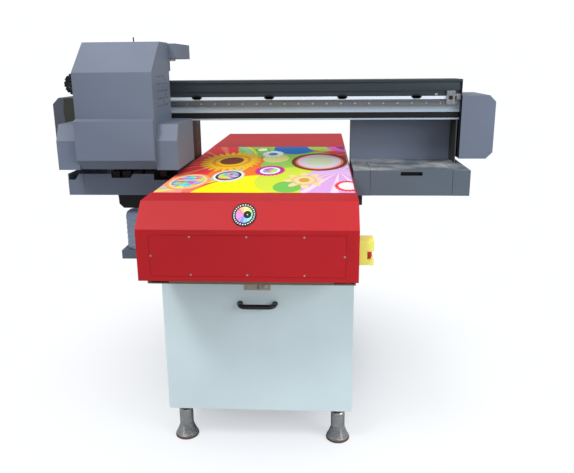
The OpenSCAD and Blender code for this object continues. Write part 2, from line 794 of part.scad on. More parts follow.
module right_box_lid() color("lightslategray")
    difference() {
        union() {
            block(lid_x0, lid_x0 + lid_w, box_y, lid_y1, box_top - sheet_t, box_top);
            block(lid_x0, lid_x0 + lid_w, box_y, box_y + sheet_t, box_z + 1, box_top);
            for (x = [lid_x0, lid_x0 + lid_w - sheet_t]) {
                block(x, x + sheet_t, box_y, lid_y1 - 14, box_top - 12, box_top);
                block(x, x + sheet_t, box_y, box_y + 12, box_z + 4, box_top);
            }
        }
        block(lid_x0 + 122, lid_x0 + 210, box_y - 1, box_y + sheet_t + 1, box_top - 22,
              box_top - 7);
    }

left_door_x0 = -box_end + 69;
left_door_x1 = -box_x - 1;
left_notch = [[left_door_x0 + 115, box_top + 1], [left_door_x0 + 118, box_top - 32],
    [left_door_x0 + 197, box_top - 32], [left_door_x0 + 208, box_top - 15],
    [left_door_x0 + 208, box_top + 1]];

module left_box() color("slategray")
    difference() {
        block(-box_end, -box_x, box_y, wall_y, box_z, box_top - 15);
        block(-box_end + sheet_t, -box_x - sheet_t, box_y + sheet_t, wall_y - sheet_t,
              box_z + sheet_t, box_top);
        block(left_door_x0 - 1, -box_x + 1, box_y - 1, box_y + sheet_t + 0.5, box_z - 1,
              box_top);
        xz_prism(box_y - 1, box_y + sheet_t + 0.5, [[-box_end - 1, box_top - 40],
            [-box_end + 31, box_top - 40], [-box_end + 50, box_top - 14],
            [-box_end - 1, box_top - 14]]);
    }

module left_box_door() color("lightslategray")
    difference() {
        union() {
            block(left_door_x0, left_door_x1, box_y, box_y + sheet_t, box_z, box_top - 15);
            for (x = [left_door_x0, left_door_x1 - 2 * sheet_t])
                block(x, x + sheet_t, box_y, box_y + 8, box_z + 12, box_top - 42);
        }
        xz_prism(box_y - 1, box_y + sheet_t + 1, left_notch);
        block(left_door_x1 - 106, left_door_x1 + 1, box_y - 1, box_y + 9, box_top - 41,
              box_top);
    }

module side_walls() color("slategray") {
    both_sides() {
        block(box_x, beam_end - 6, wall_y, wall_y + wall_t, box_z, loop_z - loop_r - 8);
        block(beam_end - 9, beam_end - 6, wall_y - 136, wall_y, box_top, beam_z);
    }
}

module z_blocks() color("black") both_sides()
    difference() {
        block(leg_x - 3, leg_x + leg_w + 3, wall_y + wall_t, leg_y - 5, box_top + 4,
              beam_z - 5);
        block(lift_x - rail_w / 2 - rail_fit, lift_x + rail_w / 2 + rail_fit,
              leg_y - 15 - rail_fit, leg_y, box_top, beam_z);
        rod_z(lift_x, lift_y, box_top, beam_z, lift_screw_d + 2 * pin_fit);
    }

head_x = cover_x0 + cover_w / 2 - 1.5 * head_pitch;

module capping_station() color("dimgray") {
    difference() {
        block(head_x - 50, head_x + 3 * head_pitch + 50, head_y - 12, wall_y - 30,
              box_z + sheet_t, box_top - 50);
        block(head_x - 46, head_x + 3 * head_pitch + 46, head_y + head_len + 30, wall_y - 34,
              box_z + sheet_t + 4, box_top);
    }
    for (i = [0:3]) difference() {
        block(head_x + i * head_pitch - 18, head_x + i * head_pitch + 18, head_y - 4,
              head_y + head_len + 4, box_top - 50, box_top - 6);
        block(head_x + i * head_pitch - 15, head_x + i * head_pitch + 15, head_y - 1,
              head_y + head_len + 1, box_top - 12, box_top);
    }
}

bottle_x = -hw - 205;
bottle_y = wall_y - 266;
bottle_z = box_z - 243;
bottle_d = 120;

module waste_bottle() color("lightcyan") translate([bottle_x, bottle_y, bottle_z])
    rotate_extrude($fn = 64) polygon([[0, 0], [bottle_d / 2 - 6, 0], [bottle_d / 2, 6],
        [bottle_d / 2, 150], [bottle_d / 2 - 12, 166], [26, 172], [26, 185], [24, 185],
        [24, 170], [bottle_d / 2 - 13, 164], [bottle_d / 2 - 2, 149], [bottle_d / 2 - 2, 7],
        [bottle_d / 2 - 7, 2], [0, 2]]);

module bottle_bracket() color("dimgray") {
    // hopper under the capping station, hollow down to its spout
    difference() {
        xz_prism(bottle_y - 58, bottle_y + 62, [[bottle_x - 70, box_z], [bottle_x - 68, box_z - 38],
            [bottle_x - 50, box_z - 56], [bottle_x + 70, box_z - 56], [bottle_x + 70, box_z]]);
        block(bottle_x - 62, bottle_x + 66, bottle_y - 54, bottle_y + 58, box_z - 34, box_z + 1);
        rod_z(bottle_x, bottle_y, box_z - 60, box_z, 40);
    }
    // hanger and tray
    block(bottle_x - 30, bottle_x + 30, bottle_y + 62, bottle_y + 66, bottle_z - 36, box_z);
    difference() {
        block(bottle_x - 72, bottle_x + 72, bottle_y - 66, bottle_y + 66, bottle_z - 36,
              bottle_z + 1);
        block(bottle_x - 69, bottle_x + 69, bottle_y - 63, bottle_y + 62, bottle_z,
              bottle_z + 2);
        block(bottle_x - 69, bottle_x + 69, bottle_y - 63, bottle_y + 63, bottle_z - 33,
              bottle_z - 3);
    }
}

// ---- carriage that travels along the beam ----

module carriage_plate() color("silver") {
    block(cover_x0 + 15, cover_x1 - 15, cover_end, cover_end + 14, cover_z + 13,
          cover_top - 64);
    difference() {
        block(cover_x0 + 15, cover_x1 - 15, cover_y + 45, cover_end, cover_z + 13,
              cover_z + 21);
        for (i = [0:3])
            block(head_x + i * head_pitch - head_w / 2, head_x + i * head_pitch + head_w / 2,
                  head_y, head_y + head_len, cover_z + 12, cover_z + 22);
    }
    // bearing blocks on the rail
    for (x = [cover_x0 + 30, cover_x1 - 110]) difference() {
        block(x, x + 80, cover_end + 14, beam_y - 2, rail_z - 11, rail_z + x_rail_h + 4);
        block(x - 1, x + 81, x_rail_y - rail_fit, beam_y, rail_z - rail_fit,
              rail_z + x_rail_h + rail_fit);
    }
    // belt clamp
    block(cover_x0 + 125, cover_x0 + 185, cover_end + 14, pulley_y - belt_r - belt_t - 0.7,
          belt_z - 1, belt_z + belt_w + 1);
}

// Side outline of the carriage cover, drawn inwards by t
function cover_outline(t) = [
    [cover_y + 45 + t, cover_z - (t > 0 ? 1 : 0)], [cover_y + t, cover_z + 40],
    [cover_y + t, cover_z + 190 - t], [cover_y + 25 + t, cover_z + 197 - t],
    [cover_y + 25 + t, cover_z + 369 - t * 0.4], [cover_y + 165 + t * 0.4, cover_top - t],
    [cover_end + (t > 0 ? 1 : 0), cover_top - t],
    [cover_end + (t > 0 ? 1 : 0), cover_z - (t > 0 ? 1 : 0)]];

module carriage_cover() color("slategray") {
    // pin on the top
    rod_z(cover_x0 + 0.6 * cover_w, cover_end - 62, cover_top - 1, cover_top + 20, top_pin_d);
    difference() {
        yz_prism(cover_x0, cover_x1, cover_outline(0));
        yz_prism(cover_x0 + sheet_t, cover_x1 - sheet_t, cover_outline(sheet_t));
        for (row = [0:4]) for (i = [0:4]) if (i < (row == 0 ? 4 : 5))
            rod_x(cover_x1 - sheet_t - 1, cover_x1 + 1, cover_y + 106 + 35 * i,
                  cover_z + 351 - 28 * row, vent_d);
        for (row = [0:3])
            rod_x(cover_x1 - sheet_t - 1, cover_x1 + 1, cover_y + 228 - 35 * (row % 2),
                  cover_z + 337 - 28 * row, vent_d);
    }
}

// Side outline of a lamp cover, drawn inwards by t
function lamp_outline(t) = [
    [lamp_y + t, cover_z - (t > 0 ? 1 : 0)], [lamp_y + t, cover_z + 113],
    [lamp_y + 35 + t * 0.6, cover_z + lamp_h - t],
    [lamp_end + (t > 0 ? 1 : 0), cover_z + lamp_h - t],
    [lamp_end + (t > 0 ? 1 : 0), cover_z - (t > 0 ? 1 : 0)]];

module lamp_cover(x0) difference() {
    yz_prism(x0, x0 + lamp_w, lamp_outline(0));
    yz_prism(x0 + sheet_t, x0 + lamp_w - sheet_t, lamp_outline(sheet_t));
}

module lamp_covers() color("slategray") {
    lamp_cover(cover_x1);
    lamp_cover(cover_x0 - lamp_w);
}

module print_heads() color("black")
    for (i = [0:3]) {
        block(head_x + i * head_pitch - head_w / 2 + 0.5, head_x + i * head_pitch + head_w / 2 - 0.5,
              head_y + 0.5, head_y + head_len - 0.5, cover_z - 4, cover_z + 70);
        block(head_x + i * head_pitch - 10, head_x + i * head_pitch + 10, head_y + 20,
              head_y + 80, cover_z + 70, cover_z + 120);
    }

module uv_lamp(x0)
    difference() {
        block(x0 + 12, x0 + lamp_w - 12, lamp_y + 20, cover_end - 10, cover_z + 2,
              cover_z + 80);
        block(x0 + 18, x0 + lamp_w - 18, lamp_y + 40, cover_end - 30, cover_z + 1,
              cover_z + 10);
    }

module uv_lamps() color("silver") for (x0 = [cover_x1, cover_x0 - lamp_w]) {
    uv_lamp(x0);
    block(x0 + sheet_t, x0 + lamp_w - sheet_t, cover_end - 60, cover_end - 50, cover_z + 80,
          cover_z + 88);
}

module chain_arm() color("slategray") {
    // arm from the carriage plate over the hood
    tube(cover_x1 - 90, cover_x1 + 62, cover_end + 2, chain_y + chain_w + 8, cover_top - 64,
         cover_top - 3, "y", sheet_t);
    block(cover_x1 - 90, cover_x1 + 62, cover_end, cover_end + 2, cover_top - 64, cover_top - 3);
    // leg down to the chain
    block(cover_x1 - 90, cover_x1 - 60, chain_y - run_t - run_fit, chain_y + chain_w + run_t + run_fit,
          run_z + chain_h + run_fit + run_t, cover_top - 64);
    // the chain's run on the carriage side
    tube(loop_x + 3, cover_x1 - 40, chain_y - run_t - run_fit, chain_y + chain_w + run_t + run_fit,
         run_z - run_fit - run_t, run_z + chain_h + run_fit + run_t, "x", run_t);
}

module cable_chain() color("black") {
    translate([loop_x, chain_y, loop_z]) rotate([-90, 0, 0]) difference() {
        cylinder(h = chain_w, r = loop_r, $fn = 64);
        translate([0, 0, -1]) cylinder(h = chain_w + 2, r = loop_r - chain_h, $fn = 64);
        translate([0, -loop_r - 1, -1]) cube([loop_r + 1, chain_loop_d + 2, chain_w + 2]);
    }
    block(loop_x, loop_x + chain_run, chain_y, chain_y + chain_w, run_z, run_z + chain_h);
    block(loop_x, loop_x + chain_run, chain_y, chain_y + chain_w, loop_z - loop_r,
          loop_z - loop_r + chain_h);
}

cabinet_shell();
base_frame();
front_cover();
access_panel();
panel_screws();
badge();
rear_cover();
side_panels();
vacuum_table();
print_sheet();
y_rails();
y_motor();
power_supply();
vacuum_pump();
mains_inlet();
estop_box();
y_screw();
levelling_foot_front_left();
levelling_foot_front_right();
levelling_foot_rear_left();
levelling_foot_rear_right();
estop_button();
cabinet_door();
door_handle();
latch_plate();
latch_lever();
latch_button();
gantry_legs();
y_bearings();
z_rails();
lift_motors();
lift_screw_left();
lift_screw_right();
x_beam();
beam_hood();
x_rail();
end_cover_left();
end_cover_right();
end_plate();
idler_bracket();
x_motor();
x_belt();
right_box();
left_box();
side_walls();
z_blocks();
capping_station();
waste_bottle();
bottle_bracket();
right_box_lid();
left_box_door();
idler_pulley();
drive_pulley();
carriage_plate();
carriage_cover();
lamp_covers();
print_heads();
uv_lamps();
chain_arm();
cable_chain();
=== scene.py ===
"""Looks of a flatbed UV printer: every visible piece, its finish, the stage and the camera."""
import json
import math

import bmesh
import bpy
from mathutils import Matrix, Vector


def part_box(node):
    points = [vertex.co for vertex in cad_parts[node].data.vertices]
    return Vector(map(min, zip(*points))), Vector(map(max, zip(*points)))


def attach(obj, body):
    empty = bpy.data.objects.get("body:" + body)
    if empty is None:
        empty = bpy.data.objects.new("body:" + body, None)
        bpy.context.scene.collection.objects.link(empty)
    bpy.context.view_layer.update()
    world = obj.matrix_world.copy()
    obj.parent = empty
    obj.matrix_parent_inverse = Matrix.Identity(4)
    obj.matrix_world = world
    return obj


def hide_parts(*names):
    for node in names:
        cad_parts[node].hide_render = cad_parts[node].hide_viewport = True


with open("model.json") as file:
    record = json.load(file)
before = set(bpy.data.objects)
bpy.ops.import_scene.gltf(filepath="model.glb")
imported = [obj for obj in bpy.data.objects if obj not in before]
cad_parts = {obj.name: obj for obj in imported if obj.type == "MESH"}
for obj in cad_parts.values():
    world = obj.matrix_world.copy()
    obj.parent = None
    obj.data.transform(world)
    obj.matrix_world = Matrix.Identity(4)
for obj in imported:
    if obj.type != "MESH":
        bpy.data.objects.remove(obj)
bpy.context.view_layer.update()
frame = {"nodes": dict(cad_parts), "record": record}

bl_info = {
    "name": "Flatbed UV Printer",
    "version": (1, 0, 0),
    "blender": (4, 5, 0),
    "location": "View3D > Sidebar > Printer",
    "description": "Builds the covers, drives, carriage, feet and finishes of a flatbed UV printer",
    "category": "Object",
}

MM = 0.001
X, Y, Z = Vector((1, 0, 0)), Vector((0, 1, 0)), Vector((0, 0, 1))


def srgb(red, green, blue):
    """A display colour, 0 to 255 a channel, as linear light with full alpha."""
    def linear(c):
        c /= 255
        return c / 12.92 if c <= 0.04045 else ((c + 0.055) / 1.055) ** 2.4
    return (linear(red), linear(green), linear(blue), 1.0)


# ---------------------------------------------------------------- properties

def colour_property(name, description, default):
    """A colour that a user may change."""
    return bpy.props.FloatVectorProperty(
        name=name, description=description, subtype="COLOR", size=4, min=0, max=1, default=default)


def length_property(name, description, default):
    """A length that a user may change."""
    return bpy.props.FloatProperty(
        name=name, description=description, unit="LENGTH", min=0.0001, default=default)


class PrinterColours(bpy.types.PropertyGroup):
    """Colours of the printer's finishes."""
    cover_red: colour_property("Cover red", "Gloss coat of the base covers", srgb(178, 20, 28))
    housing: colour_property("Housing", "Textured coat of the gantry's covers", srgb(106, 115, 131))
    hood: colour_property("Hood", "Dark coat of the beam's hood", srgb(48, 57, 64))
    cabinet: colour_property("Cabinet", "Satin coat of the cabinet", srgb(214, 230, 232))
    frame_tan: colour_property("Frame", "Coat of the welded frame and legs", srgb(134, 116, 96))
    stop_yellow: colour_property("Stop box", "Moulded colour of the stop box", srgb(240, 238, 112))
    stop_red: colour_property("Stop button", "Moulded colour of the button", srgb(190, 20, 28))
    lock_beige: colour_property("Lock", "Plated door lock", srgb(176, 166, 148))
    floor: colour_property("Floor", "Pale studio floor", (0.92, 0.92, 0.92, 1))


class PrinterSizes(bpy.types.PropertyGroup):
    """Sizes that only the looks use."""
    fold: length_property("Fold radius", "Outer radius of bent sheet edges", 1.4 * MM)
    edge: length_property("Machined edge", "Chamfer on machined parts", 0.6 * MM)
    link_pitch: length_property("Link pitch", "Length of one cable chain link", 25 * MM)
    bolt_head: length_property("Bolt head", "Radius of the rail bolts' heads", 4.4 * MM)
    clip_pitch: length_property("Clip pitch", "Distance between the beam's black clips", 312 * MM)
    lens: bpy.props.FloatProperty(
        name="Lens", description="Focal length of the camera in millimetres", default=39.33)


def colours():
    """The scene's finish colours."""
    return bpy.context.scene.printer_colours


# ---------------------------------------------------------------- mesh helpers

def low(node):
    """Lowest corner of a CAD node's box."""
    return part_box(node)[0]


def high(node):
    """Highest corner of a CAD node's box."""
    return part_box(node)[1]


def middle(node):
    """Middle of a CAD node's box."""
    return (low(node) + high(node)) / 2


def add_box(bm, lo, hi):
    """An axis-aligned block between two corners; returns its vertices."""
    lo, hi = Vector(lo), Vector(hi)
    size = hi - lo
    place = Matrix.Translation((lo + hi) / 2) @ Matrix.Diagonal((size.x, size.y, size.z, 1))
    return bmesh.ops.create_cube(bm, size=1, matrix=place)["verts"]


def off(point, x=0, y=0, z=0):
    """A point moved by millimetres along each axis."""
    return tuple(a + d * MM for a, d in zip(point, (x, y, z)))


def in_mm(*pairs):
    """A turned profile's pairs, given in millimetres."""
    return [(r * MM, h * MM) for r, h in pairs]


def add_rod(bm, start, end, radius, end_radius=None, segments=24):
    """A round bar or cone from start to end; returns its vertices."""
    start, end = Vector(start), Vector(end)
    way = end - start
    place = Matrix.Translation((start + end) / 2) @ way.to_track_quat("Z", "Y").to_matrix().to_4x4()
    far_radius = radius if end_radius is None else end_radius
    return bmesh.ops.create_cone(
        bm, cap_ends=True, segments=segments, radius1=radius, radius2=far_radius,
        depth=way.length, matrix=place)["verts"]


def add_socket_bolt(bm, seat, out, radius, height, sides=14):
    """A bolt head standing on seat, facing out, with a sunk hexagon socket."""
    seat, out = Vector(seat), Vector(out).normalized()
    verts = add_rod(bm, seat, seat + out * height, radius, radius * 0.94, sides)
    faces = {f for v in verts for f in v.link_faces}
    top = max(faces, key=lambda f: f.calc_center_median().dot(out))
    bmesh.ops.inset_individual(bm, faces=[top], thickness=radius * 0.45)
    sunk = bmesh.ops.extrude_discrete_faces(bm, faces=[top])["faces"]
    bmesh.ops.translate(bm, verts=sunk[0].verts, vec=-out * height * 0.6)
    return verts


def add_screw_head(bm, seat, out, radius, height):
    """A low screw head on seat, facing out, with a cone for its dome."""
    seat, out = Vector(seat), Vector(out).normalized()
    add_rod(bm, seat, seat + out * height * 0.6, radius, segments=16)
    add_rod(bm, seat + out * height * 0.6, seat + out * height, radius, radius * 0.62, 16)


def add_spun(bm, profile, centre, steps=48, axis=Z):
    """A turned shape: profile is (radius, height) pairs, spun once round the axis."""
    across = X if abs(axis.dot(X)) < 0.5 else Y
    points = [Vector(centre) + across * r + axis * h for r, h in profile]
    verts = [bm.verts.new(p) for p in points]
    edges = [bm.edges.new(pair) for pair in zip(verts, verts[1:])]
    bmesh.ops.spin(bm, geom=verts + edges, cent=centre, axis=axis, angle=math.tau,
                   steps=steps, use_merge=True, use_duplicate=False)
    bmesh.ops.remove_doubles(bm, verts=bm.verts, dist=1e-6)


def add_tube(bm, points, radius, segments=10):
    """A round bar that follows points, with its ends closed."""
    points = [Vector(p) for p in points]
    rings = []
    for i, p in enumerate(points):
        way = (points[min(i + 1, len(points) - 1)] - points[max(i - 1, 0)]).normalized()
        place = Matrix.Translation(p) @ way.to_track_quat("Z", "Y").to_matrix().to_4x4()
        ring = bmesh.ops.create_circle(bm, segments=segments, radius=radius, matrix=place)["verts"]
        rings.append({e for v in ring for e in v.link_edges})
    for a, b in zip(rings, rings[1:]):
        bmesh.ops.bridge_loops(bm, edges=list(a | b))
    for ring in (rings[0], rings[-1]):
        bmesh.ops.contextual_create(bm, geom=list(ring))


def rounded_path(corners, radius, steps=6):
    """Points along straight runs between corners, with each inner corner rounded."""
    corners = [Vector(c) for c in corners]
    path = [corners[0]]
    for before, corner, after in zip(corners, corners[1:], corners[2:]):
        a = corner + (before - corner).normalized() * radius
        b = corner + (after - corner).normalized() * radius
        for i in range(steps + 1):
            t = i / steps
            path.append(a * (1 - t) ** 2 + corner * 2 * t * (1 - t) + b * t ** 2)
    path.append(corners[-1])
    return path


SOFT_ANGLE = 32  # degrees; a sharper edge is shaded sharp and bevelled


def make_piece(bm, name, finish, body, stands_for=(), bevel=0.0, angle=SOFT_ANGLE,
               segments=2):
    """Turns a new bmesh into a finished piece that rides on a body."""
    bmesh.ops.recalc_face_normals(bm, faces=bm.faces)
    return dress(bm, name, finish, body, stands_for, bevel, angle, segments)


def new_object(bm, name):
    """A linked mesh object made from a bmesh, which is freed."""
    mesh = bpy.data.meshes.new(name)
    bm.to_mesh(mesh)
    bm.free()
    made = bpy.data.objects.new(name, mesh)
    bpy.context.scene.collection.objects.link(made)
    return made


def dress(bm, name, finish, body, stands_for, bevel, angle, segments):
    """Mesh, shading, bevel, finish and body of a piece."""
    piece = new_object(bm, name)
    mesh = piece.data
    mesh.polygons.foreach_set("use_smooth", [True] * len(mesh.polygons))
    mesh.set_sharp_from_angle(angle=math.radians(angle))
    mesh.materials.append(FINISH[finish])
    if bevel:
        soft = piece.modifiers.new("soft_edges", "BEVEL")
        soft.width = bevel
        soft.segments = segments
        soft.limit_method = "ANGLE"
        soft.angle_limit = math.radians(angle)
        soft.harden_normals = True
        soft.use_clamp_overlap = True
    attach(piece, body)
    if stands_for:
        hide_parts(*stands_for)
    return piece


def body_with(node):
    """The body that a CAD node rides on."""
    groups = frame["record"]["behaviour"]["bodies"]
    return next(body for body, nodes in groups.items() if node in nodes)


def merged_copy(node):
    """A CAD node's surface as one joined bmesh."""
    bm = bmesh.new()
    bm.from_mesh(frame["nodes"][node].data)
    bmesh.ops.remove_doubles(bm, verts=bm.verts, dist=1e-5)
    bmesh.ops.dissolve_limit(bm, angle_limit=math.radians(0.6), verts=bm.verts, edges=bm.edges)
    return bm


def refine(node, name, finish, bevel, segments=2):
    """The CAD node's own shape with softened edges, standing for it."""
    return dress(merged_copy(node), name, finish, body_with(node), [node],
                 bevel, SOFT_ANGLE, segments)


def tint_faces(piece, finish, test):
    """Gives the faces whose centre and normal pass the test a second finish."""
    mesh = piece.data
    mesh.materials.append(FINISH[finish])
    for face in mesh.polygons:
        if test(face.center, face.normal):
            face.material_index = len(mesh.materials) - 1
    return piece


# ---------------------------------------------------------------- shader parts

def link(tree, source, target):
    """Joins an output socket to an input socket."""
    tree.links.new(source, target)


def shader_node(tree, kind, values=None, **settings):
    """A shader node with its settings and its unlinked input values."""
    made = tree.nodes.new(kind)
    for key, value in settings.items():
        setattr(made, key, value)
    for key, value in (values or {}).items():
        if isinstance(value, bpy.types.NodeSocket):
            tree.links.new(value, made.inputs[key])
        else:
            made.inputs[key].default_value = value
    return made


def maths(tree, operation, a, b=0.0, c=0.0):
    """The result of a maths node."""
    return shader_node(tree, "ShaderNodeMath", {0: a, 1: b, 2: c}, operation=operation).outputs[0]


def mix_colour(tree, factor, a, b):
    """Colour a turning into colour b by factor."""
    made = shader_node(tree, "ShaderNodeMix", {0: factor, 6: a, 7: b}, data_type="RGBA")
    return made.outputs[2]


def map_range(tree, value, a, b, c=0.0, d=1.0):
    """A value between a and b, carried to the range between c and d."""
    made = shader_node(tree, "ShaderNodeMapRange", {0: value, 1: a, 2: b, 3: c, 4: d})
    return made.outputs[0]


def object_place(tree):
    """Object coordinates of the point that is shaded."""
    return shader_node(tree, "ShaderNodeTexCoord").outputs["Object"]


def vector_maths(tree, operation, a, b=(0, 0, 0)):
    """A vector operation; its result is a length or a vector, whichever it makes."""
    made = shader_node(tree, "ShaderNodeVectorMath", {0: a, 1: b}, operation=operation)
    lengths = {"LENGTH", "DISTANCE", "DOT_PRODUCT"}
    return made.outputs["Value" if operation in lengths else "Vector"]


def split_axes(tree, vector):
    """The X, Y and Z of a vector, as a node with those outputs."""
    return shader_node(tree, "ShaderNodeSeparateXYZ", {0: vector}).outputs


def noise(tree, place, scale, detail=2.0, roughness=0.5):
    """Noise over the object, as a value."""
    return shader_node(tree, "ShaderNodeTexNoise", {
        "Vector": place, "Scale": scale, "Detail": detail, "Roughness": roughness}).outputs[0]


def angle_round(tree, axes):
    """Angle of a split vector round the Z axis."""
    return maths(tree, "ARCTAN2", axes["Y"], axes["X"])


def start_group(name, inputs, outputs):
    """A new shader node group with named float or colour sockets."""
    tree = bpy.data.node_groups.new(name, "ShaderNodeTree")
    for label, kind, default in inputs:
        made = tree.interface.new_socket(name=label, in_out="INPUT", socket_type=kind)
        if default is not None:
            made.default_value = default
    for label, kind in outputs:
        tree.interface.new_socket(name=label, in_out="OUTPUT", socket_type=kind)
    return tree, tree.nodes.new("NodeGroupInput"), tree.nodes.new("NodeGroupOutput")


FLOAT, COLOUR, VECTOR = "NodeSocketFloat", "NodeSocketColor", "NodeSocketVector"


def build_edge_wear():
    """Mask of worn edges: where a rounded normal leaves the true one, broken up by noise."""
    tree, given, out = start_group(
        "Edge wear", [("Radius", FLOAT, 0.002), ("Amount", FLOAT, 0.5)], [("Mask", FLOAT)])
    place = object_place(tree)
    round_normal = shader_node(tree, "ShaderNodeBevel", {"Radius": given.outputs["Radius"]},
                               samples=4)
    true_normal = shader_node(tree, "ShaderNodeNewGeometry").outputs["Normal"]
    dot = vector_maths(tree, "DOT_PRODUCT", round_normal.outputs[0], true_normal)
    turned = map_range(tree, dot, 0.995, 0.80)
    broken = map_range(tree, noise(tree, place, 38, 5), 0.46, 0.66)
    masked = maths(tree, "MULTIPLY", turned, broken)
    link(tree, maths(tree, "MULTIPLY", masked, given.outputs["Amount"]), out.inputs["Mask"])
    return tree


def build_powder():
    """Fine powder-coat texture: a height and a soft change of tone."""
    tree, given, out = start_group(
        "Powder coat", [("Scale", FLOAT, 900)], [("Height", FLOAT), ("Tone", FLOAT)])
    place = object_place(tree)
    scale = given.outputs["Scale"]
    fine = noise(tree, place, scale, 2, 0.6)
    cells = shader_node(tree, "ShaderNodeTexVoronoi", {"Vector": place, "Scale": scale},
                        feature="SMOOTH_F1").outputs[0]
    link(tree, maths(tree, "MULTIPLY_ADD", cells, 0.5, fine), out.inputs["Height"])
    link(tree, noise(tree, place, 2.4, 4), out.inputs["Tone"])
    return tree


def build_dust():
    """Dust that settles on faces that look up, thicker in patches; a large amount also paints light
    onto those faces.
    """
    tree, given, out = start_group("Dust", [("Amount", FLOAT, 0.2)], [("Mask", FLOAT)])
    place = object_place(tree)
    normal = shader_node(tree, "ShaderNodeNewGeometry").outputs["Normal"]
    level = map_range(tree, split_axes(tree, normal)["Z"], 0.6, 1.0)
    thick = map_range(tree, noise(tree, place, 7, 8, 0.65), 0.42, 0.75)
    amount = maths(tree, "MULTIPLY", given.outputs["Amount"], maths(tree, "MULTIPLY", level, thick))
    link(tree, amount, out.inputs["Mask"])
    return tree


def build_brushed():
    """Fine scratches, drawn out along the axes of small stretch."""
    tree, given, out = start_group(
        "Brushed lines", [("Stretch", VECTOR, (2, 400, 400))], [("Height", FLOAT)])
    place = object_place(tree)
    drawn = vector_maths(tree, "MULTIPLY", place, given.outputs["Stretch"])
    link(tree, noise(tree, drawn, 1, 3), out.inputs["Height"])
    return tree


PRINT_STRETCH = 2.1  # length along the table of a printed ring, to its width


def build_petals():
    """Mask of a rosette of petals round a centre on the table."""
    tree, given, out = start_group(
        "Petal rosette", [("Centre", VECTOR, (0, 0, 0)), ("Radius", FLOAT, 0.1),
                          ("Petals", FLOAT, 12), ("Depth", FLOAT, 0.3), ("Turn", FLOAT, 0.0)],
        [("Mask", FLOAT), ("Distance", FLOAT)])
    depth = given.outputs["Depth"]
    offset = vector_maths(tree, "SUBTRACT", object_place(tree), given.outputs["Centre"])
    axes = split_axes(tree, vector_maths(tree, "MULTIPLY", offset, (1, 1 / PRINT_STRETCH, 1)))
    turned = maths(tree, "ADD", angle_round(tree, axes), given.outputs["Turn"])
    wave = maths(tree, "ABSOLUTE", maths(tree, "COSINE", maths(
        tree, "MULTIPLY", turned, maths(tree, "MULTIPLY", given.outputs["Petals"], 0.5))))
    flat = shader_node(tree, "ShaderNodeCombineXYZ", {0: axes["X"], 1: axes["Y"]}).outputs[0]
    ratio = maths(tree, "DIVIDE", vector_maths(tree, "LENGTH", flat), given.outputs["Radius"])
    edge = maths(tree, "ADD", maths(tree, "SUBTRACT", 1.0, depth),
                 maths(tree, "MULTIPLY", wave, depth))
    inside = maths(tree, "SUBTRACT", edge, ratio)
    link(tree, map_range(tree, inside, -0.01, 0.01), out.inputs["Mask"])
    link(tree, ratio, out.inputs["Distance"])
    return tree


GROUPS = {}


def use_group(tree, name, **values):
    """Places a shared node group in a material, with its own values."""
    made = tree.nodes.new("ShaderNodeGroup")
    made.node_tree = GROUPS[name]
    for key, value in values.items():
        socket = made.inputs[key.capitalize()]
        if isinstance(value, bpy.types.NodeSocket):
            tree.links.new(value, socket)
        else:
            socket.default_value = value
    return made


def start_material(name):
    """An empty material: its node tree, its Principled shader and itself."""
    material = bpy.data.materials.new(name)
    material.use_nodes = True
    tree = material.node_tree
    tree.nodes.clear()
    shader = tree.nodes.new("ShaderNodeBsdfPrincipled")
    out = tree.nodes.new("ShaderNodeOutputMaterial")
    link(tree, shader.outputs[0], out.inputs[0])
    return material, tree, shader


def bump(tree, shader, height, strength, distance):
    """Raises a height on the shader's normal."""
    made = shader_node(tree, "ShaderNodeBump", {
        "Height": height, "Strength": strength, "Distance": distance})
    link(tree, made.outputs[0], shader.inputs["Normal"])


BARE_METAL = (0.30, 0.30, 0.31, 1)
# Dust colour; with the side box's large dust amount it is also painted warm light on the box's top.
DUST_AND_TOP_LIGHT_ON_COAT = (0.55, 0.53, 0.5, 1)
DUST_ON_METAL = (0.5, 0.48, 0.45, 1)
DUST_ON_PLASTIC = (0.5, 0.48, 0.46, 1)


def coated_metal(name, colour, roughness, grain, relief, wear, dust, coat=0.0, shine=0.3,
                 sheen=0.06):
    """Powder-coated or sprayed sheet: grain, tone, worn edges and settled dust; a large dust amount
    also paints light onto up-facing faces.
    """
    material, tree, shader = start_material(name)
    powder = use_group(tree, "powder", scale=grain)
    tone = map_range(tree, powder.outputs["Tone"], 0.3, 0.7, 0.93, 1.07)
    scaled = shader_node(tree, "ShaderNodeVectorMath", {0: colour[:3], "Scale": tone},
                         operation="SCALE").outputs[0]
    worn = use_group(tree, "wear", radius=0.0016, amount=wear).outputs["Mask"]
    dusty = use_group(tree, "dust", amount=dust).outputs["Mask"]
    chipped = mix_colour(tree, worn, scaled, BARE_METAL)
    # Dust on up-facing faces; with a large amount it is painted light.
    link(tree, mix_colour(tree, dusty, chipped, DUST_AND_TOP_LIGHT_ON_COAT), shader.inputs["Base Color"])
    rough = map_range(tree, powder.outputs["Tone"], 0.3, 0.7, roughness - 0.05, roughness + 0.06)
    link(tree, maths(tree, "MULTIPLY_ADD", dusty, 0.4, rough), shader.inputs["Roughness"])
    shader.inputs["Specular IOR Level"].default_value = shine
    shader.inputs["Coat Weight"].default_value = coat
    shader.inputs["Coat Roughness"].default_value = sheen
    bump(tree, shader, powder.outputs["Height"], relief, 0.0004)
    return material


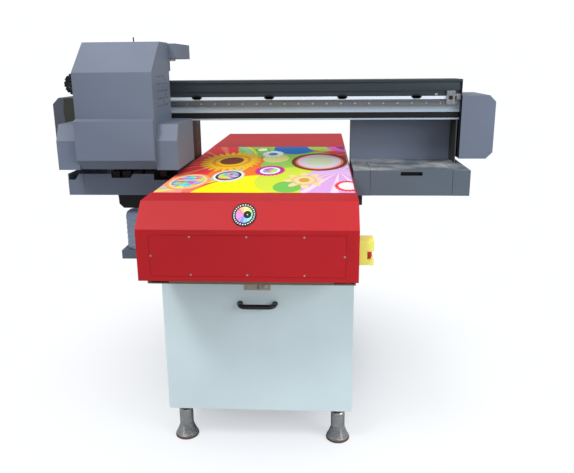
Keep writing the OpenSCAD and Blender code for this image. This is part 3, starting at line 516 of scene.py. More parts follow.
def plain_metal(name, colour, roughness, stretch, relief=0.15, dust=0.05):
    """Bare metal with drawn lines."""
    material, tree, shader = start_material(name)
    lines = use_group(tree, "brushed", stretch=stretch).outputs["Height"]
    dusty = use_group(tree, "dust", amount=dust).outputs["Mask"]
    dark = tuple(c * 0.8 for c in colour[:3]) + (1,)
    streaked = mix_colour(tree, map_range(tree, lines, 0.3, 0.7), dark, colour)
    link(tree, mix_colour(tree, dusty, streaked, DUST_ON_METAL), shader.inputs["Base Color"])
    link(tree, map_range(tree, lines, 0.25, 0.75, roughness * 0.75, roughness * 1.3),
         shader.inputs["Roughness"])
    shader.inputs["Metallic"].default_value = 1
    bump(tree, shader, lines, relief, 0.0002)
    return material


def moulded(name, colour, roughness=0.4, relief=0.12, grain=1400, dust=0.08, clear=0.0,
            shine=0.4):
    """Moulded plastic or rubber with a fine mould texture."""
    material, tree, shader = start_material(name)
    powder = use_group(tree, "powder", scale=grain)
    dusty = use_group(tree, "dust", amount=dust).outputs["Mask"]
    light = tuple(min(1, c * 1.12 + 0.004) for c in colour[:3]) + (1,)
    toned = mix_colour(tree, powder.outputs["Tone"], colour, light)
    link(tree, mix_colour(tree, dusty, toned, DUST_ON_PLASTIC), shader.inputs["Base Color"])
    rough = map_range(tree, powder.outputs["Tone"], 0.3, 0.7, roughness - 0.06, roughness + 0.08)
    link(tree, rough, shader.inputs["Roughness"])
    if clear:
        shader.inputs["Transmission Weight"].default_value = clear
        shader.inputs["IOR"].default_value = 1.3
    shader.inputs["Specular IOR Level"].default_value = shine
    bump(tree, shader, powder.outputs["Height"], relief, 0.0003)
    return material


def blend_layers(tree, base, layers):
    """Paints (mask, colour) layers over a base colour in order."""
    for mask, colour in layers:
        base = mix_colour(tree, mask, base, colour)
    return base


def ring_mask(rosette, tree, inner, outer):
    """Mask of a ring between two shares of a rosette's radius."""
    far = rosette.outputs["Distance"]
    inside = map_range(tree, far, inner - 0.012, inner + 0.012)
    outside = map_range(tree, far, outer + 0.012, outer - 0.012)
    return maths(tree, "MULTIPLY", inside, outside)


def disc_mask(tree, x, y, radius):
    """Mask of a plain disc on the table."""
    disc = use_group(tree, "petals", centre=(x, y, 0), radius=radius, petals=1, depth=0.0)
    return disc.outputs["Mask"]


def ray_mask(tree, place, x, y, count):
    """Mask of thin rays that fan out from a point on the table."""
    axes = split_axes(tree, vector_maths(tree, "SUBTRACT", place, (x, y, 0)))
    waves = maths(tree, "SINE", maths(tree, "MULTIPLY", angle_round(tree, axes), count))
    return map_range(tree, waves, 0.5, 0.9)


# Colour areas of the print: centre on the table, radius and colour.
AREAS = (
    ((-0.40, -0.83), 0.150, (250, 160, 140)), ((-0.06, -0.42), 0.160, (242, 118, 38)),
    ((-0.03, 0.36), 0.170, (134, 204, 92)), ((0.16, -0.20), 0.190, (150, 206, 84)),
    ((0.02, -0.03), 0.060, (226, 226, 140)), ((0.02, -1.00), 0.250, (246, 234, 16)),
    ((0.12, -0.58), 0.140, (206, 222, 60)), ((0.095, 0.34), 0.110, (22, 108, 188)),
    ((0.24, 0.40), 0.085, (160, 206, 84)), ((0.36, 0.42), 0.110, (216, 96, 190)),
    ((0.38, 0.44), 0.085, (128, 34, 150)), ((0.38, -0.68), 0.230, (214, 164, 220)),
    ((0.11, -0.72), 0.052, (116, 190, 84)))
# Rosettes: centre, radius, petals and their depth, petal colour, core's share of the radius,
# core colour, ring colour, and the ring's outer share of the radius.
ROSETTES = (
    ((-0.174, -0.104), 0.137, 26, 0.30, (250, 200, 14), 0.38, (126, 54, 26), (238, 150, 16), 0.62),
    ((-0.070, 0.275), 0.042, 1, 0.0, (40, 168, 40), 0.62, (244, 250, 214), (190, 226, 90), 0.95),
    ((-0.005, 0.117), 0.053, 14, 0.20, (240, 242, 244), 0.42, (50, 140, 190),
     (226, 228, 236), 0.55),
    ((0.220, -0.118), 0.124, 1, 0.0, (112, 46, 22), 0.86, (232, 116, 92), (120, 80, 190), 0.84),
    ((0.220, -0.118), 0.096, 1, 0.0, (216, 210, 214), 0.62, (206, 216, 180), (226, 196, 222), 0.96),
    ((0.020, -0.371), 0.063, 24, 0.10, (214, 26, 132), 0.66, (236, 236, 250), (120, 60, 170), 0.75),
    ((-0.133, -0.495), 0.062, 1, 0.0, (176, 200, 220), 0.80, (96, 42, 26), (238, 246, 250), 0.92),
    ((-0.266, -0.620), 0.078, 1, 0.0, (242, 120, 128), 0.86, (244, 206, 140), (250, 160, 90), 0.97),
    ((0.166, -0.590), 0.080, 8, 0.66, (238, 208, 156), 0.26, (206, 156, 60), (226, 184, 120), 0.60),
    ((0.325, -0.706), 0.050, 22, 0.14, (228, 56, 48), 0.66, (250, 226, 226), (246, 130, 150), 0.72))
# Discs of coloured cells: centre and radius.
MOSAICS = (((0.020, -0.371), 0.030), ((-0.133, -0.495), 0.040), ((-0.266, -0.620), 0.058))


def printed_board():
    """An abstract test print of colour areas, rays, rosettes and rings."""
    material, tree, shader = start_material("printed_board")
    place = object_place(tree)
    rays = maths(tree, "MULTIPLY", ray_mask(tree, place, -0.18, -0.1, 22), 0.28)
    layers = [(rays, srgb(255, 196, 150))]
    layers += [(disc_mask(tree, x, y, radius), srgb(*tone)) for (x, y), radius, tone in AREAS]
    arc = use_group(tree, "petals", centre=(-0.42, -0.10, 0), radius=0.36, petals=1, depth=0.0)
    layers += [(ring_mask(arc, tree, 0.86, 0.93), srgb(150, 208, 172)),
               (ring_mask(arc, tree, 0.95, 0.98), srgb(250, 226, 60))]
    light = maths(tree, "MULTIPLY", disc_mask(tree, 0.38, -0.68, 0.23),
                  ray_mask(tree, place, 0.30, -0.40, 26))
    layers.append((maths(tree, "MULTIPLY", light, 0.6), srgb(248, 238, 250)))
    for (x, y), radius, petals, depth, outer, share, inner, ring, reach in ROSETTES:
        flower = use_group(tree, "petals", centre=(x, y, 0), radius=radius, petals=petals,
                           depth=depth, turn=x * 9)
        core = disc_mask(tree, x, y, radius * share)
        layers += [(flower.outputs["Mask"], srgb(*outer)),
                   (ring_mask(flower, tree, reach - 0.10, reach), srgb(*ring)),
                   (core, srgb(*inner))]
    cells = shader_node(tree, "ShaderNodeTexVoronoi", {"Vector": place, "Scale": 42})
    hue = shader_node(tree, "ShaderNodeSeparateColor", {0: cells.outputs["Color"]})
    mosaic = shader_node(tree, "ShaderNodeCombineColor", {
        0: hue.outputs[0], 1: 0.85, 2: 0.75}, mode="HSV").outputs[0]
    layers += [(disc_mask(tree, x, y, radius), mosaic) for (x, y), radius in MOSAICS]
    picture = blend_layers(tree, srgb(226, 56, 62), layers)
    link(tree, picture, shader.inputs["Base Color"])
    shader.inputs["Roughness"].default_value = 0.5
    shader.inputs["Specular IOR Level"].default_value = 0.03
    bump(tree, shader, noise(tree, place, 1500), 0.08, 0.0002)
    return material


BADGE_STRETCH = 1.16  # height of the badge up the slope, to its width
BADGE_RISE = 4 * MM
BADGE_HUES = 12
BADGE_TICKS = 28


def badge_slope():
    """Unit vector up the chamfer that carries the badge."""
    lo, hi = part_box("badge")
    return Vector((0, hi.y - lo.y, hi.z - lo.z)).normalized()


def colour_wheel():
    """A printed wheel of hues inside a black ring, under a clear dome."""
    material, tree, shader = start_material("colour_wheel")
    centre = middle("badge") + badge_slope() * BADGE_RISE
    slope = badge_slope()
    tilt = math.atan2(slope.z, slope.y)
    local = vector_maths(tree, "SUBTRACT", object_place(tree), centre)
    flat = shader_node(tree, "ShaderNodeVectorRotate", {"Vector": local, "Angle": tilt},
                       rotation_type="X_AXIS", invert=True).outputs[0]
    axes = split_axes(tree, flat)
    turn = maths(tree, "MULTIPLY_ADD", angle_round(tree, axes), 1 / math.tau, 0.5)
    turns = maths(tree, "MULTIPLY", turn, BADGE_HUES)
    sector = maths(tree, "DIVIDE", maths(tree, "FLOOR", turns), BADGE_HUES)
    hue = maths(tree, "FRACT", maths(tree, "SUBTRACT", 1.83, sector))
    hues = shader_node(tree, "ShaderNodeCombineColor", {0: hue, 1: 0.72, 2: 0.8},
                       mode="HSV").outputs[0]
    upright = maths(tree, "DIVIDE", axes["Y"], BADGE_STRETCH)
    plane = shader_node(tree, "ShaderNodeCombineXYZ", {0: axes["X"], 1: upright}).outputs[0]
    radius = (high("badge").x - low("badge").x) / 2
    share = maths(tree, "DIVIDE", vector_maths(tree, "LENGTH", plane), radius)
    black, white = (0.012, 0.012, 0.014, 1), (0.85, 0.85, 0.85, 1)
    ticks = maths(tree, "FRACT", maths(tree, "MULTIPLY", turn, BADGE_TICKS))
    ring = maths(tree, "MULTIPLY", maths(tree, "GREATER_THAN", share, 0.78),
                 maths(tree, "LESS_THAN", share, 0.88))
    band = maths(tree, "MULTIPLY", maths(tree, "GREATER_THAN", ticks, 0.55), ring)
    spokes = maths(tree, "LESS_THAN", maths(tree, "FRACT", turns), 0.05)
    hub = vector_maths(tree, "DISTANCE", plane, (radius * 0.26, 0, 0))
    picture = blend_layers(tree, hues, [
        (spokes, white), (maths(tree, "GREATER_THAN", share, 0.68), black),
        (band, white), (maths(tree, "LESS_THAN", hub, radius * 0.32), black),
        (maths(tree, "LESS_THAN", hub, radius * 0.05), white)])
    link(tree, picture, shader.inputs["Base Color"])
    shader.inputs["Roughness"].default_value = 0.3
    shader.inputs["Specular IOR Level"].default_value = 0.2
    shader.inputs["Coat Weight"].default_value = 0.1
    shader.inputs["Coat Roughness"].default_value = 0.04
    return material


FINISH = {}
INKS = {"cyan": srgb(0, 150, 205), "magenta": srgb(206, 24, 110), "yellow": srgb(246, 214, 20),
        "black": srgb(20, 20, 22), "white": srgb(238, 238, 236), "varnish": srgb(206, 200, 176)}


def build_finishes():
    """Shared node groups first, then one material for each finish; some of them are painted shade
    or light.
    """
    GROUPS.update(wear=build_edge_wear(), powder=build_powder(), dust=build_dust(),
                  brushed=build_brushed(), petals=build_petals())
    c = colours()
    for key, name, colour, values, extra in (
            ("red", "red_gloss_coat", tuple(c.cover_red), (0.5, 260, 0.06, 0.0, 0.0),
             {"coat": 0.6, "shine": 0.0, "sheen": 0.42}),
            ("housing", "housing_coat", tuple(c.housing), (0.48, 800, 0.25, 0.2, 0.05), {}),
            # a darker copy of the housing coat for the left end cover: painted shade
            ("shade_coat", "left_end_painted_shade_coat", srgb(84, 88, 98), (0.5, 800, 0.25, 0.2, 0.05), {}),
            # side box coat: its dust amount of 0.9 paints warm light onto the up-facing faces,
            # besides dust
            ("box_coat", "side_box_lit_top_coat", srgb(92, 102, 112), (0.5, 800, 0.25, 0.2, 0.9),
             {"shine": 0.25}),
            ("hood", "hood_coat", tuple(c.hood), (0.45, 800, 0.28, 0.25, 0.08), {"shine": 0.25}),
            ("cabinet", "cabinet_coat", tuple(c.cabinet), (0.42, 700, 0.15, 0.15, 0.05), {}),
            ("tan", "frame_coat", tuple(c.frame_tan), (0.5, 700, 0.3, 0.4, 0.12), {}),
            ("leg_coat", "leg_coat", srgb(56, 52, 44), (0.5, 700, 0.3, 0.3, 0.1), {}),
            # dark olive coat: painted shade on the side walls' sideways faces and on the plate by
            # the left end cover
            ("olive", "painted_shade_olive_coat", srgb(58, 59, 52), (0.5, 800, 0.3, 0.3, 0.08), {}),
            ("black_coat", "black_coat", srgb(24, 25, 27), (0.5, 800, 0.3, 0.3, 0.08),
             {"shine": 0.25}),
            ("grey_coat", "bracket_coat", srgb(98, 106, 120), (0.48, 800, 0.3, 0.4, 0.08), {}),
            ("beige", "lock_plating", tuple(c.lock_beige), (0.32, 1200, 0.12, 0.3, 0.05),
             {"coat": 0.3, "shine": 0.4}),
            ("motor", "motor_enamel", srgb(38, 39, 41), (0.4, 500, 0.4, 0.5, 0.12),
             {"shine": 0.4}),
            ("white_strip", "painted_strip", srgb(168, 184, 196), (0.45, 900, 0.15, 0.2, 0.0),
             {"shine": 0.25})):
        FINISH[key] = coated_metal(name, colour, *values, **extra)
    FINISH.update(
        steel=plain_metal("ground_steel", (0.50, 0.50, 0.50, 1), 0.28, (500, 500, 4)),
        rail=plain_metal("rail_steel", (0.20, 0.205, 0.21, 1), 0.38, (3, 500, 700)),
        long_steel=plain_metal("long_rail_steel", (0.42, 0.43, 0.44, 1), 0.28, (500, 3, 500)),
        aluminium=plain_metal("anodised_aluminium", (0.76, 0.78, 0.80, 1), 0.34, (3, 300, 500)),
        cast=plain_metal("cast_aluminium", (0.50, 0.51, 0.52, 1), 0.5, (60, 60, 60), 0.5),
        plate=plain_metal("dull_plate", (0.30, 0.31, 0.32, 1), 0.42, (60, 60, 60), 0.2),
        foot_chrome=plain_metal("worn_chrome", (0.56, 0.55, 0.54, 1), 0.16, (40, 40, 90), 0.05),
        black=moulded("black_plastic", srgb(22, 22, 23), 0.5, dust=0.03, shine=0.22),
        gloss_black=moulded("gloss_black_plastic", srgb(16, 16, 17), 0.2, 0.05),
        rubber=moulded("foot_rubber", srgb(88, 66, 52), 0.75, 0.4, 500, 0.2),
        belt=moulded("belt_polyurethane", srgb(212, 222, 232), 0.45, 0.2, 800, 0.03),
        yellow=moulded("stop_yellow", tuple(c.stop_yellow), 0.35),
        red_plastic=moulded("stop_red", tuple(c.stop_red), 0.25, 0.06),
        bottle=moulded("bottle_plastic", srgb(186, 200, 222), 0.28, 0.1, 300, 0.02, clear=0.6,
                       shine=0.3),
        green_board=moulded("circuit_board", srgb(20, 92, 58), 0.35, 0.1, 2500),
        lamp_glass=moulded("lamp_glass", srgb(46, 22, 88), 0.08, 0.01),
        foam=moulded("cap_foam", srgb(54, 52, 50), 0.9, 0.8, 300),
        print=printed_board(),
        wheel=colour_wheel(),
    )
    for name, colour in INKS.items():
        FINISH["ink_" + name] = moulded("ink_" + name, colour, 0.25, 0.02, 400, 0.0)


# ---------------------------------------------------------------- operators

class PieceOperator:
    """What every operator of the printer shares."""
    bl_options = {"REGISTER", "UNDO"}

    def execute(self, context):
        self.build(context.scene.printer_sizes)
        return {"FINISHED"}


FLOOR_BOUNCE = srgb(170, 172, 176)
BACKDROP = (0.95, 0.97, 1, 1)
BACKDROP_GLOW = 1.05
CAMERA_PLACE = (0.23509, -2.91088, 1.42675)
CAMERA_TURN = (15.3326, -3.3451, -0.5197)  # degrees down, to the right, and of roll
SENSOR_WIDTH = 36  # mm


class PRINTER_OT_stage(PieceOperator, bpy.types.Operator):
    """Makes the pale floor, the soft lights and the camera"""
    bl_idname = "printer.stage"
    bl_label = "Stage"

    def build(self, size):
        self.build_floor()
        self.build_world()
        self.build_lamps()
        self.build_camera(size)

    def build_floor(self):
        """The pale floor, which throws a darker light back at the object."""
        material, tree, shader = start_material("studio_floor")
        seen = shader_node(tree, "ShaderNodeLightPath").outputs["Is Camera Ray"]
        floor_colour = mix_colour(tree, seen, FLOOR_BOUNCE, tuple(colours().floor))
        link(tree, floor_colour, shader.inputs["Base Color"])
        shader.inputs["Roughness"].default_value = 0.7
        self.fade_out(tree, shader)
        bm = bmesh.new()
        bmesh.ops.create_grid(bm, x_segments=1, y_segments=1, size=30)
        floor = new_object(bm, "floor")
        floor.data.materials.append(material)

    def build_world(self):
        """A pale backdrop that lights the object less than it shows."""
        world = bpy.data.worlds.new("studio")
        world.use_nodes = True
        tree = world.node_tree
        sky = tree.nodes["Background"]
        sky.inputs["Color"].default_value = BACKDROP
        seen = shader_node(tree, "ShaderNodeLightPath").outputs["Is Camera Ray"]
        link(tree, map_range(tree, seen, 0, 1, 0.55, BACKDROP_GLOW), sky.inputs["Strength"])
        bpy.context.scene.world = world
        bpy.context.scene.view_settings.view_transform = "Standard"

    def build_lamps(self):
        """Soft round lamps: place, aim, size across, watts and tint of each."""
        for name, place, aim, reach, power, tint in (
                ("key", (-2.0, -3.4, 5.0), (0, -0.5, 0.8), 1.6, 118, (0.96, 0.98, 1)),
                ("fill", (3.8, -3.2, 2.6), (0, 0, 0.9), 3.0, 118, (0.90, 0.95, 1)),
                ("overhead", (0.0, -0.2, 5.0), (0, -0.2, 0.9), 6.0, 90, (1, 0.95, 0.90)),
                ("front", (0.4, -6.0, 1.9), (0, 0, 0.8), 3.0, 18, (0.96, 0.98, 1))):
            lamp = bpy.data.lights.new(name, "AREA")
            lamp.shape = "DISK"
            lamp.size = reach
            lamp.energy = power
            lamp.color = tint
            holder = bpy.data.objects.new(name, lamp)
            holder.location = place
            way = Vector(aim) - Vector(place)
            holder.rotation_euler = way.to_track_quat("-Z", "Y").to_euler()
            bpy.context.scene.collection.objects.link(holder)

    def build_camera(self, size):
        """The camera, turned by its pitch, yaw and roll."""
        lens = bpy.data.cameras.new("camera")
        lens.lens = size.lens
        lens.sensor_width = SENSOR_WIDTH
        camera = bpy.data.objects.new("camera", lens)
        pitch, yaw, roll = (math.radians(a) for a in CAMERA_TURN)
        ahead = Vector((math.sin(yaw) * math.cos(pitch), math.cos(yaw) * math.cos(pitch),
                        -math.sin(pitch)))
        right = ahead.cross(Z).normalized()
        up = right.cross(ahead)
        side = right * math.cos(roll) + up * math.sin(roll)
        top = up * math.cos(roll) - right * math.sin(roll)
        turn = Matrix((side, top, -ahead)).transposed().to_4x4()
        camera.matrix_world = Matrix.Translation(CAMERA_PLACE) @ turn
        bpy.context.scene.collection.objects.link(camera)
        bpy.context.scene.camera = camera

    def fade_out(self, tree, shader):
        """Lets the far floor glow into the backdrop, so that no horizon shows."""
        far = vector_maths(tree, "LENGTH", object_place(tree))
        seen = shader_node(tree, "ShaderNodeLightPath").outputs["Is Camera Ray"]
        share = maths(tree, "MULTIPLY", seen, map_range(tree, far, 0.1, 1.25))
        glow = shader_node(tree, "ShaderNodeEmission", {
            "Color": BACKDROP, "Strength": BACKDROP_GLOW})
        blend = shader_node(tree, "ShaderNodeMixShader", {
            0: share, 1: shader.outputs[0], 2: glow.outputs[0]})
        out = next(n for n in tree.nodes if n.type == "OUTPUT_MATERIAL")
        link(tree, blend.outputs[0], out.inputs[0])


class PRINTER_OT_base_covers(PieceOperator, bpy.types.Operator):
    """Makes the red covers, the removable front panel and its screws"""
    bl_idname = "printer.base_covers"
    bl_label = "Base covers"

    def build(self, size):
        refine("front_cover", "front_cover_sheet", "red", size.fold)
        refine("access_panel", "front_panel_sheet", "red", 0.5 * MM)
        refine("rear_cover", "rear_cover_sheet", "red", size.fold)
        refine("side_panels", "side_panel_sheets", "red", 0.5 * MM)
        bm = bmesh.new()
        lo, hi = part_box("access_panel")
        pitch = (hi.x - lo.x) * 0.292
        places = [(i * pitch, z) for z in (lo.z + 5 * MM, hi.z - 5 * MM) for i in (-1, 0, 1)]
        places += [(x, (lo.z + hi.z) / 2) for x in (lo.x + 3 * MM, hi.x - 3 * MM)]
        for x, z in places:
            add_screw_head(bm, (x, lo.y, z), -Y, 3.2 * MM, lo.y - low("panel_screws").y)
        make_piece(bm, "front_panel_screw_heads", "steel", "base",
                   ["panel_screws"], angle=25)


class PRINTER_OT_badge(PieceOperator, bpy.types.Operator):
    """Makes the round colour wheel badge on the chamfer"""
    bl_idname = "printer.badge"
    bl_label = "Badge"

    def build(self, size):
        badge = refine("badge", "colour_wheel_badge", "wheel", 0.5 * MM, segments=3)
        centre, up = middle("badge"), badge_slope()
        for v in badge.data.vertices:
            v.co += up * ((v.co - centre).dot(up) * (BADGE_STRETCH - 1) + BADGE_RISE)


class PRINTER_OT_table(PieceOperator, bpy.types.Operator):
    """Makes the vacuum table and the printed board on it"""
    bl_idname = "printer.table"
    bl_label = "Table and board"

    def build(self, size):
        refine("vacuum_table", "vacuum_table_plate", "aluminium", size.edge)
        refine("print_sheet", "printed_board", "print", 0.2 * MM)


LOUVRE_ROWS = 12


class PRINTER_OT_cabinet(PieceOperator, bpy.types.Operator):
    """Makes the cabinet shell, the welded frame and the rear vents"""
    bl_idname = "printer.cabinet"
    bl_label = "Cabinet and frame"

    def build(self, size):
        refine("cabinet_shell", "cabinet_sheets", "cabinet", size.fold)
        refine("base_frame", "welded_frame", "tan", 2 * MM, segments=3)
        refine("mains_inlet", "mains_inlet_body", "black", 0.5 * MM)
        hi = high("mains_inlet")
        bm = bmesh.new()
        for dx, dz in ((0, 4), (-7, -3), (7, -3)):
            pin = middle("mains_inlet") + X * dx * MM + Z * dz * MM
            root = (pin.x, hi.y, pin.z)
            add_box(bm, off(root, -1, -20, -2.5), off(root, 1, -4, 2.5))
        make_piece(bm, "mains_inlet_pins", "steel", "base", bevel=0.2 * MM)
        bm = bmesh.new()
        back = hi.y - 3 * MM
        for column in (0, 1):
            for row in range(LOUVRE_ROWS):
                slat = (0.06 + column * 130 * MM, back, hi.z + 0.02 + row * 14 * MM)
                add_box(bm, slat, off(slat, 100, 1.6, 6))
        make_piece(bm, "rear_louvres", "cabinet", "base", bevel=0.7 * MM)


class PRINTER_OT_cabinet_door(PieceOperator, bpy.types.Operator):
    """Makes the door pan, its handle and its lock"""
    bl_idname = "printer.cabinet_door"
    bl_label = "Cabinet door"

    def build(self, size):
        refine("cabinet_door", "door_pan", "cabinet", 1.0 * MM)
        lo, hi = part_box("door_handle")
        z = middle("door_handle").z
        grip = lo.y + 9 * MM
        bm = bmesh.new()
        x0, x1 = lo.x + 8 * MM, hi.x - 8 * MM
        add_tube(bm, rounded_path([(x0, hi.y, z), (x0, grip, z), (x1, grip, z), (x1, hi.y, z)],
                                  27 * MM, 8), 9 * MM, 16)
        for x in (x0, x1):
            add_rod(bm, (x, hi.y - 5 * MM, z), (x, hi.y, z), 10.5 * MM, 11 * MM, 24)
        make_piece(bm, "door_pull", "gloss_black", "door", ["door_handle"],
                   bevel=0.5 * MM)
        refine("latch_plate", "lock_plate", "beige", 1.2 * MM, segments=3)
        self.build_lock()

    def build_lock(self):
        """The lever as an oval paddle and the button as a domed key cap."""
        lo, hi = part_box("latch_lever")
        face = middle("latch_lever")
        bm = bmesh.new()
        half = (hi.z - lo.z) / 2
        add_box(bm, (lo.x, lo.y + 0.6 * MM, lo.z), (hi.x - half, lo.y + 4 * MM, hi.z))
        end = (hi.x - half, lo.y, face.z)
        add_rod(bm, off(end, 0, 0.6), off(end, 0, 4), half)
        pin = (lo.x + 2 * MM, hi.y - 2 * MM)
        add_rod(bm, (*pin, lo.z), (*pin, hi.z), 2 * MM)
        for i in range(4):
            x = hi.x - half - (12 + i * 4) * MM
            add_box(bm, (x, lo.y, lo.z + 2 * MM), (x + 1.6 * MM, lo.y + 1 * MM, hi.z - 2 * MM))
        make_piece(bm, "lock_paddle", "beige", "lever", ["latch_lever"],
                   bevel=0.4 * MM)
        lo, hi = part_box("latch_button")
        centre = middle("latch_button")
        reach = (hi.x - lo.x) / 2
        bm = bmesh.new()
        add_spun(bm, [(0, 0), (reach * 0.5, 0.2 * MM), (reach * 0.9, 1.2 * MM), (reach, 2.4 * MM),
                      (reach, hi.y - lo.y), (0, hi.y - lo.y)], (centre.x, lo.y, centre.z), 32, Y)
        face = (centre.x, lo.y, centre.z)
        add_box(bm, off(face, -0.6, 0, -3.5), off(face, 0.6, 0.6, 3.5))
        make_piece(bm, "lock_key_cap", "steel", "lock_button", ["latch_button"])


BELL_RIBS = 7
COLLAR_TOP = 137 * MM


class PRINTER_OT_feet(PieceOperator, bpy.types.Operator):
    """Makes the four bell feet with ribbed skirts, rubber rims, sleeves and collars"""
    bl_idname = "printer.feet"
    bl_label = "Levelling feet"

    def build(self, size):
        for place in ("front_left", "front_right", "rear_left", "rear_right"):
            self.build_foot(place)

    def build_foot(self, place):
        """A bell with ribs, its rubber rim, threaded stem, collar and lock nut."""
        node = "levelling_foot_" + place
        body = "foot_" + place
        lo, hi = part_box(node)
        centre = Vector((middle(node).x, middle(node).y, 0))
        skirt = (hi.x - lo.x) / 2
        wide = skirt / MM
        profile = [(0, 8), (wide - 4, 8), (wide - 2, 9)]
        for i in range(BELL_RIBS):
            turn = i / BELL_RIBS
            r = (wide - 2) - 17 * turn ** 0.8
            h = 12 + 40 * turn
            profile += [(r, h), (r - 0.4, h + 2.0), (r - 2.6, h + 3.4)]
        profile += [(27, 55), (27, 57), (25.5, 58), (25.5, 61), (27, 62), (27, 117), (25, 120),
                    (21, 121.4), (0, 121.4)]
        bm = bmesh.new()
        add_spun(bm, in_mm(*profile), centre, 64)
        make_piece(bm, "bell_foot_" + place, "foot_chrome", body, [node], angle=25)
        bm = bmesh.new()
        rim = [(0, 0), (skirt - 3 * MM, 0), (skirt - 0.2 * MM, 2.5 * MM), (skirt, 7 * MM),
               (skirt - 1.5 * MM, 10 * MM), (skirt - 4.5 * MM, 9 * MM), (0, 9 * MM)]
        add_spun(bm, rim, centre, 64)
        make_piece(bm, "foot_rim_" + place, "rubber", body, angle=40)
        bm = bmesh.new()
        add_spun(bm, in_mm((0, 119), (16, 119), (17, 121), (17, 131), (15, 133), (12, 133),
                           (12, 137), (0, 137)), centre, 48)
        thread = [(0, COLLAR_TOP)]
        for i in range(int((hi.z - COLLAR_TOP) / (2 * MM))):
            thread += [(12 * MM, COLLAR_TOP + i * 2 * MM),
                       (10.8 * MM, COLLAR_TOP + 1 * MM + i * 2 * MM)]
        thread += [(0, hi.z)]
        add_spun(bm, thread, centre, 32)
        make_piece(bm, "foot_stem_" + place, "tan", body, angle=30)
        top = hi.z - 48.4 * MM
        bm = bmesh.new()
        add_rod(bm, centre + Z * (top - 8 * MM), centre + Z * top, 20 * MM, segments=6)
        make_piece(bm, "foot_lock_nut_" + place, "steel", body, bevel=1 * MM)


STOP_BOX_DEPTH = 48 * MM


class PRINTER_OT_emergency_stop(PieceOperator, bpy.types.Operator):
    """Makes the yellow stop box and its red mushroom button"""
    bl_idname = "printer.emergency_stop"
    bl_label = "Emergency stop"

    def build(self, size):
        refine("estop_box", "stop_box_shell", "yellow", 2.2 * MM, segments=3)
        lo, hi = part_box("estop_button")
        centre = middle("estop_button")
        head = hi.x - 16.5 * MM
        bm = bmesh.new()
        dome = ((12, -1), (15, 0), (19.2, 1.5), (20, 4), (20, 8.5), (18.6, 12), (15, 14.6),
                (9, 16), (0, 16.5))
        profile = [(0, lo.x), (12 * MM, lo.x)] + [(r * MM, head + h * MM) for r, h in dome]
        add_spun(bm, profile, Vector((0, centre.y, centre.z)), 64, X)
        make_piece(bm, "stop_mushroom", "red_plastic", "stop_button",
                   ["estop_button"])
        bm = bmesh.new()
        seat = low("estop_box").x + STOP_BOX_DEPTH - 0.4 * MM
        for sy in (-1, 1):
            for z in (low("estop_box").z + 7 * MM, high("estop_box").z - 7 * MM):
                add_screw_head(bm, (seat, centre.y + sy * 27 * MM, z), X, 2.6 * MM, 0.4 * MM)
        make_piece(bm, "stop_box_screws", "steel", "base", angle=25)


class PRINTER_OT_cabinet_internals(PieceOperator, bpy.types.Operator):
    """Makes the power supply, vacuum blower and control boards inside the cabinet"""
    bl_idname = "printer.cabinet_internals"
    bl_label = "Cabinet internals"

    def build(self, size):
        refine("power_supply", "power_supply_case", "aluminium", 0.8 * MM)
        refine("vacuum_pump", "vacuum_blower", "cast", 1.2 * MM)
        lo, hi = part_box("power_supply")
        wall = low("cabinet_shell").x + 2 * MM
        near, far = (wall, lo.y, hi.z), (wall, hi.y, hi.z)
        bm = bmesh.new()
        add_box(bm, off(near, 0, 0, 60), off(far, 12, 0, 300))
        for z in (60, 294):
            add_box(bm, off(near, 12, 0, z), off(far, 24, 0, z + 6))
        for corner in (off(near, 0, 12), off(far, 0, -12)):
            for z in (80, 280):
                add_rod(bm, off(corner, 12, 0, z), off(corner, 22, 0, z), 4 * MM, segments=6)
        make_piece(bm, "board_plate", "aluminium", "base", bevel=0.6 * MM)
        bm = bmesh.new()
        add_box(bm, off(near, 12, 20, 80), off(far, 20, -20, 280))
        make_piece(bm, "control_board", "green_board", "base", bevel=0.3 * MM)
        bm = bmesh.new()
        for row in range(3):
            for col in range(4):
                chip = off(near, 20, 40 + col * 62, 100 + row * 56)
                tall = 6 + 4 * ((row * 4 + col) % 3)
                add_box(bm, chip, off(chip, tall, 34, 30))
        make_piece(bm, "control_board_chips", "black", "base", bevel=0.4 * MM)


class PRINTER_OT_table_drive(PieceOperator, bpy.types.Operator):
    """Makes the long rails, the table screw, its motor and the bearings under the legs"""
    bl_idname = "printer.table_drive"
    bl_label = "Table drive"

    def build(self, size):
        refine("y_rails", "long_rails", "long_steel", size.edge)
        refine("y_bearings", "bearing_blocks", "long_steel", size.edge)
        refine("y_motor", "table_motor", "motor", 1.5 * MM)
        lo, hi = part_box("y_screw")
        centre = middle("y_screw")
        radius = (hi.x - lo.x) / 2
        bm = bmesh.new()
        pitch = 20 * MM
        turns = int((hi.y - lo.y) / pitch)
        profile = [(0, lo.y)]
        for i in range(turns * 2):
            y = lo.y + i * pitch / 2
            profile += [(radius, y), (radius, y + pitch * 0.33),
                        (radius - 1.2 * MM, y + pitch * 0.41)]
        profile += [(radius, hi.y), (0, hi.y)]
        add_spun(bm, profile, Vector((centre.x, 0, centre.z)), 20, Y)
        make_piece(bm, "table_ball_screw", "steel", "table_screw", ["y_screw"])


